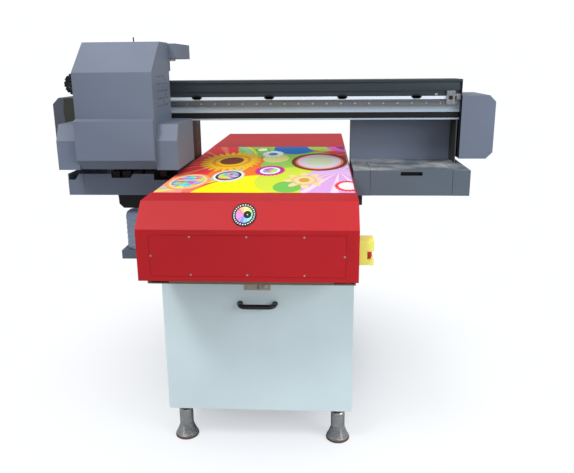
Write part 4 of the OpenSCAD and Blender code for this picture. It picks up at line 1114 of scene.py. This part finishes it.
class PRINTER_OT_gantry_legs(PieceOperator, bpy.types.Operator):
    """Makes the gantry's legs, lift rails, lift screws and lift motors"""
    bl_idname = "printer.gantry_legs"
    bl_label = "Gantry legs and lift"

    def build(self, size):
        refine("gantry_legs", "leg_posts", "leg_coat", 2 * MM, segments=3)
        refine("z_rails", "lift_rails", "steel", size.edge)
        refine("lift_motors", "lift_motor_cans", "motor", 1.5 * MM)
        refine("z_blocks", "lift_blocks", "black_coat", 1.2 * MM)
        for side, body in (("left", "lift_screw_l"), ("right", "lift_screw_r")):
            self.build_screw("lift_screw_" + side, body)
        bm = bmesh.new()
        hi = high("gantry_legs")
        for sign in (-1, 1):
            x = sign * (hi.x - 60 * MM)
            for z in (1.06, 1.16, 1.24):
                add_socket_bolt(bm, (x, hi.y - 60 * MM, z), -X * sign, 5 * MM, 3 * MM)
        make_piece(bm, "leg_bolts", "steel", "gantry")

    def build_screw(self, node, body):
        """A lift screw with its thread."""
        lo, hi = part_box(node)
        centre = middle(node)
        radius = (hi.x - lo.x) / 2
        profile = [(0, lo.z)]
        step = 5 * MM
        for i in range(int((hi.z - lo.z) / step)):
            z = lo.z + i * step
            profile += [(radius, z), (radius, z + step * 0.4), (radius - 1 * MM, z + step * 0.7)]
        profile += [(radius, hi.z), (0, hi.z)]
        bm = bmesh.new()
        add_spun(bm, profile, Vector((centre.x, centre.y, 0)), 20)
        make_piece(bm, node + "_thread", "steel", body, [node])


RAIL_PITCH = 60 * MM


class PRINTER_OT_beam(PieceOperator, bpy.types.Operator):
    """Makes the beam, its rail with bolts, its clips and its black band"""
    bl_idname = "printer.beam"
    bl_label = "Beam and rail"

    def build(self, size):
        refine("x_beam", "beam_extrusion", "white_strip", size.edge)
        refine("x_rail", "carriage_rail", "rail", size.edge)
        self.build_shade_band()
        self.build_bolts(size)
        self.build_clips(size)

    def build_shade_band(self):
        """A black strip in the beam's groove that paints the shade of its recess, with a thin light
        lip under it.
        """
        lo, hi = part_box("x_beam")
        right = (hi.x, lo.y, lo.z)
        bm = bmesh.new()
        add_box(bm, off(lo, 2, 2, 7.4), off(right, -2, 11.8, 31.6))
        for z in (13, 23):
            add_box(bm, off(lo, 2, 1.2, z), off(right, -2, 2, z + 3))
        make_piece(bm, "groove_shade_strip", "black", "beam", bevel=0.4 * MM)

    def build_bolts(self, size):
        """Socket bolts along the carriage rail."""
        lo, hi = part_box("x_rail")
        middle_z = (lo.z + hi.z) / 2
        bm = bmesh.new()
        for i in range(int((hi.x - lo.x - 0.03) / RAIL_PITCH) + 1):
            x = lo.x + RAIL_PITCH / 2 + i * RAIL_PITCH
            add_socket_bolt(bm, (x, lo.y + 6 * MM, middle_z), -Y, size.bolt_head, 4.6 * MM)
        make_piece(bm, "rail_bolts", "steel", "beam")

    def build_clips(self, size):
        """Black clips that hold the encoder strip over the belt."""
        front, top = low("x_belt").y, high("x_belt").z
        bm = bmesh.new()
        for i in range(-1, 3):
            spot = (4 * MM + i * size.clip_pitch, front, top)
            add_box(bm, off(spot, -15, -0.5, -11), off(spot, 15, -0.1, 2))
            add_box(bm, off(spot, -21, -0.5, -7), off(spot, 21, -0.1, 2))
            add_box(bm, off(spot, -12, -4, 1.6), off(spot, 12, 6, 8))
            add_box(bm, off(spot, -21, -2, 1.6), off(spot, 21, 4, 3.2))
        make_piece(bm, "strip_clips", "black", "beam", bevel=0.15 * MM)
        bm = bmesh.new()
        left, right = (low("x_beam").x, front, top), (high("x_beam").x, front, top)
        add_box(bm, off(left, 24, 3, 3), off(right, -100, 3.4, 9))
        for spot in (off(left, 26), off(right, -102)):
            add_box(bm, off(spot, -6, 1, 2), off(spot, 6, 6, 11))
            add_rod(bm, off(spot, 0, -0.6, 6.5), off(spot, 0, 1, 6.5), 2 * MM)
        make_piece(bm, "encoder_strip", "steel", "beam")


class PRINTER_OT_hood(PieceOperator, bpy.types.Operator):
    """Makes the folded hood with its screws"""
    bl_idname = "printer.hood"
    bl_label = "Beam hood"

    def build(self, size):
        refine("beam_hood", "hood_sheet", "hood", 0.9 * MM)
        lo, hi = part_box("beam_hood")
        bm = bmesh.new()
        for i in range(7):
            x = lo.x + 0.06 + i * (hi.x - lo.x - 0.12) / 6
            add_screw_head(bm, (x, lo.y + 0.02, hi.z), Z, 3.4 * MM, 1.2 * MM)
        make_piece(bm, "hood_screws", "black_coat", "beam", angle=25)


class PRINTER_OT_end_covers(PieceOperator, bpy.types.Operator):
    """Makes the end covers, the end plates and the side walls"""
    bl_idname = "printer.end_covers"
    bl_label = "End covers and walls"

    def build(self, size):
        # The left end sheet takes the darker copy of the housing coat, as painted shade.
        refine("end_cover_left", "left_end_sheet", "shade_coat", size.fold, segments=3)
        refine("end_cover_right", "right_end_sheet", "housing", size.fold, segments=3)
        refine("end_plate", "end_plates", "black_coat", size.edge)
        walls = refine("side_walls", "side_wall_sheets", "housing", 0.8 * MM)
        front = low("side_walls").y
        # The walls' sideways faces get the olive coat as painted shade.
        tint_faces(walls, "olive", lambda spot, out: spot.y > front + 3 * MM and abs(out.x) > 0.9)
        self.build_left_shade_plate()
        bm = bmesh.new()
        wall = low("side_walls").y
        lift = high("right_box").z + 8 * MM
        for sign in (-1, 1):
            for x in (0.375, 0.44, 0.79):
                add_screw_head(bm, (sign * x, wall, lift), -Y, 3 * MM, 1.2 * MM)
        make_piece(bm, "wall_screws", "rail", "beam", angle=25)

    def build_left_shade_plate(self):
        """A dark folded plate between the left end cover and the beam: painted shade, put where the
        end cover lies in shade.
        """
        lo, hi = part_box("end_cover_left")
        back, face = lo.y - 0.3 * MM, lo.y - 2 * MM
        x0, top = hi.x - 71 * MM, hi.z - 2 * MM
        foot = lo.z + 4 * MM
        outline = [(x0 + 2 * MM, top), (hi.x, top), (hi.x, foot), (x0 + 1 * MM, foot),
                   (x0 + 1 * MM, top - 120 * MM), (x0 - 4 * MM, top - 60 * MM)]
        bm = bmesh.new()
        near = bm.faces.new([bm.verts.new((x, face, z)) for x, z in outline])
        walls = bmesh.ops.extrude_face_region(bm, geom=[near])["geom"]
        bmesh.ops.translate(bm, verts=[g for g in walls if isinstance(g, bmesh.types.BMVert)],
                            vec=Y * (back - face))
        for z in (lo.z + 16 * MM, top - 14 * MM, (lo.z + top) / 2):
            add_screw_head(bm, (hi.x - 12 * MM, face, z), -Y, 2.6 * MM, 1 * MM)
        make_piece(bm, "left_shade_plate", "olive", "beam", bevel=0.3 * MM)


PULLEY_TEETH = 24


class PRINTER_OT_belt_drive(PieceOperator, bpy.types.Operator):
    """Makes the belt, its pulleys, the idler bracket and the belt motor"""
    bl_idname = "printer.belt_drive"
    bl_label = "Belt drive"

    def build(self, size):
        refine("x_belt", "toothed_belt", "belt", 0.25 * MM)
        refine("idler_bracket", "idler_fork", "plate", 0.8 * MM)
        lo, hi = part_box("idler_bracket")
        spot = Vector((middle("idler_pulley").x, lo.y, (lo.z + hi.z) / 2))
        bm = bmesh.new()
        for dx in (-12, 12):
            for dz in (-22, 22):
                add_socket_bolt(bm, spot + X * dx * MM + Z * dz * MM, -Y, 3.6 * MM, 3 * MM)
        make_piece(bm, "idler_bolts", "steel", "beam")
        bm = bmesh.new()
        add_spun(bm, in_mm((0, 0), (9, 0), (9, 1.2), (6.5, 2.2), (4, 1.4), (0, 1.4)),
                 spot, 32, -Y)
        make_piece(bm, "idler_bearing_cap", "black_coat", "beam")
        refine("x_motor", "belt_motor", "motor", 1.5 * MM)
        for node, body in (("idler_pulley", "idler"), ("drive_pulley", "drive")):
            self.build_pulley(node, body)

    def build_pulley(self, node, body):
        """A toothed pulley: a turned core with a ring of small teeth."""
        lo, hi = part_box(node)
        centre = middle(node)
        belt_lo, belt_hi = low("x_belt").z, high("x_belt").z
        outer = (hi.x - lo.x) / 2
        shaft, core = 4 * MM, outer - 1.4 * MM
        bm = bmesh.new()
        base = Vector((centre.x, centre.y, 0))
        add_spun(bm, [(0, lo.z), (shaft, lo.z), (shaft, belt_lo), (core, belt_lo),
                      (core, belt_hi), (shaft, belt_hi), (shaft, hi.z), (0, hi.z)], base, 48)
        for i in range(PULLEY_TEETH):
            turn = math.tau * i / PULLEY_TEETH
            spot = base + Vector((math.cos(turn), math.sin(turn), 0)) * (outer - 1.2 * MM)
            add_rod(bm, spot + Z * (belt_lo + 0.1 * MM), spot + Z * (belt_hi - 0.1 * MM),
                    1.1 * MM, segments=6)
        make_piece(bm, node + "_wheel", "steel", body, [node])


class PRINTER_OT_side_boxes(PieceOperator, bpy.types.Operator):
    """Makes the two side boxes, the lid and the small door"""
    bl_idname = "printer.side_boxes"
    bl_label = "Side boxes"

    def build(self, size):
        # The box and lid coat paints warm light onto their up-facing faces.
        refine("right_box", "right_box_sheets", "box_coat", 0.9 * MM)
        refine("left_box", "left_box_sheets", "housing", 0.9 * MM)
        refine("right_box_lid", "right_lid_sheet", "box_coat", 0.8 * MM)
        refine("left_box_door", "left_door_sheet", "housing", 0.7 * MM)
        self.build_lid_grip()
        self.build_screws()

    def build_lid_grip(self):
        """The black finger cup behind the lid's slot."""
        lo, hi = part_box("right_box_lid")
        bm = bmesh.new()
        verts = add_box(bm, off((lo.x, lo.y, hi.z), 122.3, 0.3, -21.7),
                        off((lo.x, lo.y, hi.z), 209.7, 18, -7.3))
        faces = {f for v in verts for f in v.link_faces}
        front = min(faces, key=lambda f: f.calc_center_median().y)
        bmesh.ops.inset_individual(bm, faces=[front], thickness=1.4 * MM)
        sunk = bmesh.ops.extrude_discrete_faces(bm, faces=[front])["faces"]
        bmesh.ops.translate(bm, verts=sunk[0].verts, vec=Y * 15 * MM)
        make_piece(bm, "lid_finger_cup", "black", "lid", bevel=0.3 * MM)

    def build_screws(self):
        """Screws at the corners of the right box's top."""
        bm = bmesh.new()
        lo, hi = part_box("right_box")
        for x, y in ((lo.x + 12 * MM, lo.y + 14 * MM), (hi.x - 12 * MM, lo.y + 14 * MM),
                     (lo.x + 12 * MM, hi.y - 30 * MM), (hi.x - 12 * MM, hi.y - 30 * MM)):
            add_screw_head(bm, (x, y, hi.z), Z, 2.6 * MM, 0.8 * MM)
        make_piece(bm, "right_box_screws", "steel", "beam", angle=25)


HEAD_WIDTH = 33 * MM


def head_places():
    """Middle of each print head across the machine."""
    lo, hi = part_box("print_heads")
    pitch = (hi.x - lo.x - HEAD_WIDTH) / 3
    return [lo.x + HEAD_WIDTH / 2 + i * pitch for i in range(4)]


class PRINTER_OT_capping_station(PieceOperator, bpy.types.Operator):
    """Makes the capping station with its cap foams and wiper"""
    bl_idname = "printer.capping_station"
    bl_label = "Capping station"

    def build(self, size):
        refine("capping_station", "capping_body", "black", 0.8 * MM)
        lo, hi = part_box("capping_station")
        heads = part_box("print_heads")
        bm = bmesh.new()
        for x in head_places():
            add_box(bm, off((x, heads[0].y, hi.z), -14, 1, -6),
                    off((x, heads[1].y, hi.z), 14, -1, -3))
        make_piece(bm, "cap_foams", "foam", "beam", bevel=0.6 * MM)
        bm = bmesh.new()
        y = heads[1].y + 10 * MM
        left, right = (lo.x, y, hi.z), (hi.x, y, hi.z)
        add_box(bm, off(left, 6, 0, -46), off(right, -6, 3, -8))
        add_box(bm, off(left, 6, 0.8, -8), off(right, -6, 2.2, -2))
        for i in range(5):
            x = lo.x + 20 * MM + i * (hi.x - lo.x - 40 * MM) / 4
            add_rod(bm, (x, y - 1.5 * MM, hi.z - 36 * MM), (x, y, hi.z - 36 * MM), 3 * MM)
        make_piece(bm, "wiper_blade", "rubber", "beam", bevel=0.4 * MM)


class PRINTER_OT_waste_bottle(PieceOperator, bpy.types.Operator):
    """Makes the waste bottle, its hopper, its hanger and its tray"""
    bl_idname = "printer.waste_bottle"
    bl_label = "Waste bottle"

    def build(self, size):
        lo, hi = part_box("waste_bottle")
        centre = Vector((middle("waste_bottle").x, middle("waste_bottle").y, lo.z))
        wide = (hi.x - lo.x) / 2
        bm = bmesh.new()
        ribs = []
        for i in range(5):
            z = (30 + i * 22) * MM
            ribs += [(wide, z), (wide - 1.6 * MM, z + 3 * MM), (wide - 1.6 * MM, z + 8 * MM),
                     (wide, z + 11 * MM)]
        outside = [(0, 0), (wide - 8 * MM, 0), (wide - 2 * MM, 2.5 * MM), (wide, 9 * MM)] + ribs
        outside += [(wide, 146 * MM), (wide - 5 * MM, 160 * MM), (wide - 16 * MM, 168 * MM)]
        outside += in_mm((26, 171), (25, 174), (25, 185))
        inside = [(23.4 * MM, 185 * MM), (23.4 * MM, 170 * MM), (wide - 15 * MM, 165 * MM),
                  (wide - 4 * MM, 146 * MM), (wide - 3.2 * MM, 10 * MM), (0, 2 * MM)]
        add_spun(bm, outside + inside, centre, 64)
        make_piece(bm, "waste_bottle_wall", "bottle", "beam", ["waste_bottle"],
                   angle=40)
        bm = bmesh.new()
        add_spun(bm, [(0, 3 * MM), (wide - 5 * MM, 4 * MM), (wide - 4 * MM, 10 * MM),
                      (wide - 4 * MM, 46 * MM), (0, 46 * MM)], centre, 48)
        make_piece(bm, "waste_ink", "ink_black", "beam")
        self.build_hanger()

    def build_hanger(self):
        """The hopper is black, the hanger and the tray are grey."""
        bracket = refine("bottle_bracket", "bottle_hanger", "grey_coat", 1 * MM)
        floor = high("waste_bottle").z + 5 * MM
        back = high("bottle_bracket").y - 2 * MM
        tint_faces(bracket, "black", lambda spot, out: spot.z > floor and spot.y < back)


LAMP_COVER_WIDTH = 84 * MM


class PRINTER_OT_carriage(PieceOperator, bpy.types.Operator):
    """Makes the carriage's plate, covers, print heads and lamps"""
    bl_idname = "printer.carriage"
    bl_label = "Carriage"

    def build(self, size):
        refine("carriage_plate", "carriage_back_plate", "aluminium", size.edge)
        lo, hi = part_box("carriage_cover")
        roof = hi.z - 19 * MM
        shell = refine("carriage_cover", "carriage_shell", "housing", size.fold, segments=3)
        tint_faces(shell, "black", lambda spot, out: spot.z > roof or (
            hi.x - 2 * MM < spot.x < hi.x - 0.1 * MM and abs(out.x) < 0.2
            and lo.y + 90 * MM < spot.y < hi.y - 20 * MM and lo.z + 0.22 < spot.z < lo.z + 0.37))
        refine("lamp_covers", "lamp_shells", "housing", size.fold, segments=3)
        refine("print_heads", "head_bodies", "black", 0.8 * MM)
        refine("uv_lamps", "lamp_bodies", "cast", 0.8 * MM)
        self.build_head_details()
        self.build_lamp_details()
        bm = bmesh.new()
        side = (hi.x, lo.y, lo.z)
        add_box(bm, off(side, -3.4, 90, 220), off(side, -2.4, 260, 370))
        add_box(bm, off(side, -4.4, 100, 230), off(side, -3.4, 250, 360))
        make_piece(bm, "vent_filter", "black", "carriage", bevel=0.2 * MM)
        bm = bmesh.new()
        for y, z in ((hi.y - 145 * MM, roof - 17 * MM), (hi.y - 50 * MM, lo.z + 30 * MM),
                     (hi.y - 30 * MM, roof - 20 * MM)):
            add_screw_head(bm, (hi.x, y, z), X, 3 * MM, 1.2 * MM)
            add_screw_head(bm, (lo.x, y, z), -X, 3 * MM, 1.2 * MM)
        make_piece(bm, "carriage_cover_screws", "steel", "carriage", angle=25)

    def build_head_details(self):
        """Nozzle plates under the heads and ink lines over them."""
        lo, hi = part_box("print_heads")
        plates = bmesh.new()
        ribbons = bmesh.new()
        for x in head_places():
            add_box(plates, off((x, lo.y, lo.z), -13, 8, -0.6), off((x, hi.y, lo.z), 13, -8, 1))
            port = (x, lo.y, hi.z)
            path = rounded_path([off(port, 0, 50, -4), off(port, 0, 50, 50),
                                 off((x, hi.y, hi.z), 0, 20, 100)], 20 * MM, 6)
            add_tube(ribbons, path, 3 * MM, 8)
        make_piece(plates, "nozzle_plates", "steel", "carriage", bevel=0.2 * MM)
        make_piece(ribbons, "head_ink_lines", "black", "carriage", angle=50)

    def build_lamp_details(self):
        """Stepped windows under the lamps and fans over them."""
        lo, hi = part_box("uv_lamps")
        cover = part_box("lamp_covers")
        wide = LAMP_COVER_WIDTH
        glass = bmesh.new()
        fans = bmesh.new()
        for x0 in (cover[0].x, cover[1].x - wide):
            near, far = (x0, lo.y, lo.z), (x0 + wide, hi.y, lo.z)
            add_box(glass, off(near, 19, 21, 1), off(far, -19, -31, 3))
            add_box(glass, off(near, 25, 27), off(far, -25, -37, 1))
            centre = Vector((x0 + wide / 2, (lo.y + hi.y) / 2, hi.z - 8 * MM))
            add_rod(fans, centre, centre + Z * 12 * MM, 24 * MM, segments=32)
        make_piece(glass, "lamp_windows", "lamp_glass", "carriage", bevel=0.3 * MM)
        make_piece(fans, "lamp_fans", "black", "carriage", bevel=1 * MM)


ARM_TRIM = 30 * MM
ARM_DEPTH = 61 * MM
CHAIN_THICKNESS = 18 * MM


class PRINTER_OT_chain(PieceOperator, bpy.types.Operator):
    """Makes the arm and the links of the cable chain"""
    bl_idname = "printer.chain"
    bl_label = "Cable chain"

    def build(self, size):
        lo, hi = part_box("cable_chain")
        loop = (hi.z - lo.z) / 2
        thick = CHAIN_THICKNESS
        pitch = size.link_pitch
        centre = Vector((lo.x + loop, 0, (lo.z + hi.z) / 2))
        middle_r = loop - thick / 2
        bm = bmesh.new()
        count = int((hi.x - centre.x) / pitch)
        for i in range(count):
            for sign in (-1, 1):
                spot = Vector((centre.x + (i + 0.5) * pitch, 0, centre.z + sign * middle_r))
                self.add_link(bm, spot, 0, lo.y, hi.y, thick, pitch)
        arc = max(5, round(math.pi * middle_r / pitch))
        for i in range(arc):
            turn = math.pi / 2 + math.pi * (i + 0.5) / arc
            spot = centre + Vector((math.cos(turn), 0, math.sin(turn))) * middle_r
            self.add_link(bm, spot, math.pi / 2 - turn, lo.y, hi.y, thick, pitch)
        make_piece(bm, "chain_loop_links", "black", "chain", ["cable_chain"],
                   bevel=0.5 * MM)
        self.build_runs(centre, middle_r, lo, hi, thick, pitch)
        self.build_arm()

    def add_link(self, bm, spot, tilt, y0, y1, thick, pitch, grow=0.0):
        """One link: two side plates and two cross bars."""
        half, h = pitch / 2 + grow, thick / 2 + grow
        verts = []
        for a, b in ((y0 - grow, y0 + 5 * MM), (y1 - 5 * MM, y1 + grow)):
            verts += add_box(bm, off((-half, a, -h), 0.8), off((half, b, h), -0.8))
            verts += add_box(bm, off((-half, a, -h * 0.55), -1, 1.2),
                             off((half, b, h * 0.55), 1, -1.2))
        for z in (-h, h - 3 * MM):
            verts += add_box(bm, off((-half, y0, z), 5, 5), off((half, y1, z), -5, -5, 3))
        place = Matrix.Translation(spot) @ Matrix.Rotation(tilt, 4, "Y")
        bmesh.ops.transform(bm, matrix=place, verts=verts)

    def build_runs(self, centre, middle_r, lo, hi, thick, pitch):
        """The run on the carriage side and the run fixed in the tray."""
        top = bmesh.new()
        count = int((hi.x - centre.x) / pitch)
        for i in range(count):
            spot = Vector((centre.x + (i + 0.5) * pitch, 0, centre.z + middle_r))
            self.add_link(top, spot, 0, lo.y, hi.y, thick, pitch, grow=1.2 * MM)
        make_piece(top, "chain_carriage_links", "black", "carriage",
                   bevel=0.5 * MM)
        fixed = bmesh.new()
        for i in range(count):
            spot = Vector((hi.x + (i + 0.5) * pitch, 0, centre.z - middle_r))
            self.add_link(fixed, spot, 0, lo.y, hi.y, thick, pitch, grow=1.2 * MM)
        end = hi.x + count * pitch
        add_box(fixed, off((end, lo.y, lo.z), 0, -2, -1),
                off((end, hi.y, lo.z + thick), 26, 2, 4))
        make_piece(fixed, "chain_fixed_links", "black", "beam", bevel=0.5 * MM)

    def build_arm(self):
        """The arm over the hood and its leg, without the CAD's channel."""
        lo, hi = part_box("chain_arm")
        bm = merged_copy("chain_arm")
        cut = high("cable_chain").z + 4 * MM
        bmesh.ops.bisect_plane(bm, geom=bm.verts[:] + bm.edges[:] + bm.faces[:], dist=1e-6,
                               plane_co=(0, 0, cut), plane_no=-Z, clear_outer=True)
        bmesh.ops.holes_fill(bm, edges=bm.edges[:])
        for v in bm.verts:
            if v.co.x > hi.x - 80 * MM:
                v.co.x -= ARM_TRIM
        dress(bm, "chain_bridge_arm", "housing", "carriage", ["chain_arm"],
              1.2 * MM, SOFT_ANGLE, 3)
        bm = bmesh.new()
        spot = (hi.x - 12 * MM - ARM_TRIM, lo.y, hi.z - ARM_DEPTH)
        add_box(bm, off(spot, -90, 10, -9), off(spot, -10, 90, -1))
        make_piece(bm, "arm_gland_plate", "beige", "carriage", bevel=0.8 * MM)


TANK_PITCH = 54 * MM


class PRINTER_OT_ink_bottles(PieceOperator, bpy.types.Operator):
    """Makes the ink bottles that stand under the right box's lid"""
    bl_idname = "printer.ink_bottles"
    bl_label = "Ink bottles"

    def build(self, size):
        lo = low("right_box")
        floor = lo.z + 2 * MM
        caps = bmesh.new()
        for i, name in enumerate(INKS):
            x = lo.x + 105 * MM + i * TANK_PITCH
            bm = bmesh.new()
            foot = (x, lo.y, floor)
            add_box(bm, off(foot, -22, 40, 0.2), off(foot, 22, 200, 66))
            make_piece(bm, "ink_tank_" + name, "ink_" + name, "beam",
                       bevel=5 * MM, segments=3)
            spot = Vector((x, lo.y + 0.07, floor + 66 * MM))
            add_rod(caps, spot, spot + Z * 12 * MM, 12 * MM, 11 * MM, 24)
        make_piece(caps, "ink_tank_caps", "black", "beam", bevel=0.8 * MM)


OPERATORS = (
    PRINTER_OT_stage, PRINTER_OT_base_covers, PRINTER_OT_badge, PRINTER_OT_table,
    PRINTER_OT_cabinet, PRINTER_OT_cabinet_door, PRINTER_OT_feet, PRINTER_OT_emergency_stop,
    PRINTER_OT_cabinet_internals, PRINTER_OT_table_drive, PRINTER_OT_gantry_legs,
    PRINTER_OT_beam, PRINTER_OT_hood, PRINTER_OT_end_covers, PRINTER_OT_belt_drive,
    PRINTER_OT_side_boxes, PRINTER_OT_capping_station, PRINTER_OT_waste_bottle,
    PRINTER_OT_carriage, PRINTER_OT_chain, PRINTER_OT_ink_bottles)


class PRINTER_PT_panel(bpy.types.Panel):
    """Lists the printer's pieces, sizes and colours"""
    bl_idname = "PRINTER_PT_panel"
    bl_label = "Flatbed UV Printer"
    bl_space_type = "VIEW_3D"
    bl_region_type = "UI"
    bl_category = "Printer"

    def draw(self, context):
        for group in (context.scene.printer_sizes, context.scene.printer_colours):
            for key in group.bl_rna.properties.keys():
                if key not in {"rna_type", "name"}:
                    self.layout.prop(group, key)
        for operator in OPERATORS:
            self.layout.operator(operator.bl_idname)


CLASSES = (PrinterColours, PrinterSizes) + OPERATORS + (PRINTER_PT_panel,)


def register():
    """Registers the classes and gives the scene its sizes and colours."""
    for cls in CLASSES:
        bpy.utils.register_class(cls)
    bpy.types.Scene.printer_colours = bpy.props.PointerProperty(type=PrinterColours)
    bpy.types.Scene.printer_sizes = bpy.props.PointerProperty(type=PrinterSizes)


def unregister():
    """Undoes what register does."""
    del bpy.types.Scene.printer_sizes
    del bpy.types.Scene.printer_colours
    for cls in reversed(CLASSES):
        bpy.utils.unregister_class(cls)


def main():
    register()
    build_finishes()
    for operator in OPERATORS:
        group, name = operator.bl_idname.split(".")
        getattr(getattr(bpy.ops, group), name)()


if __name__ == "__main__":
    main()
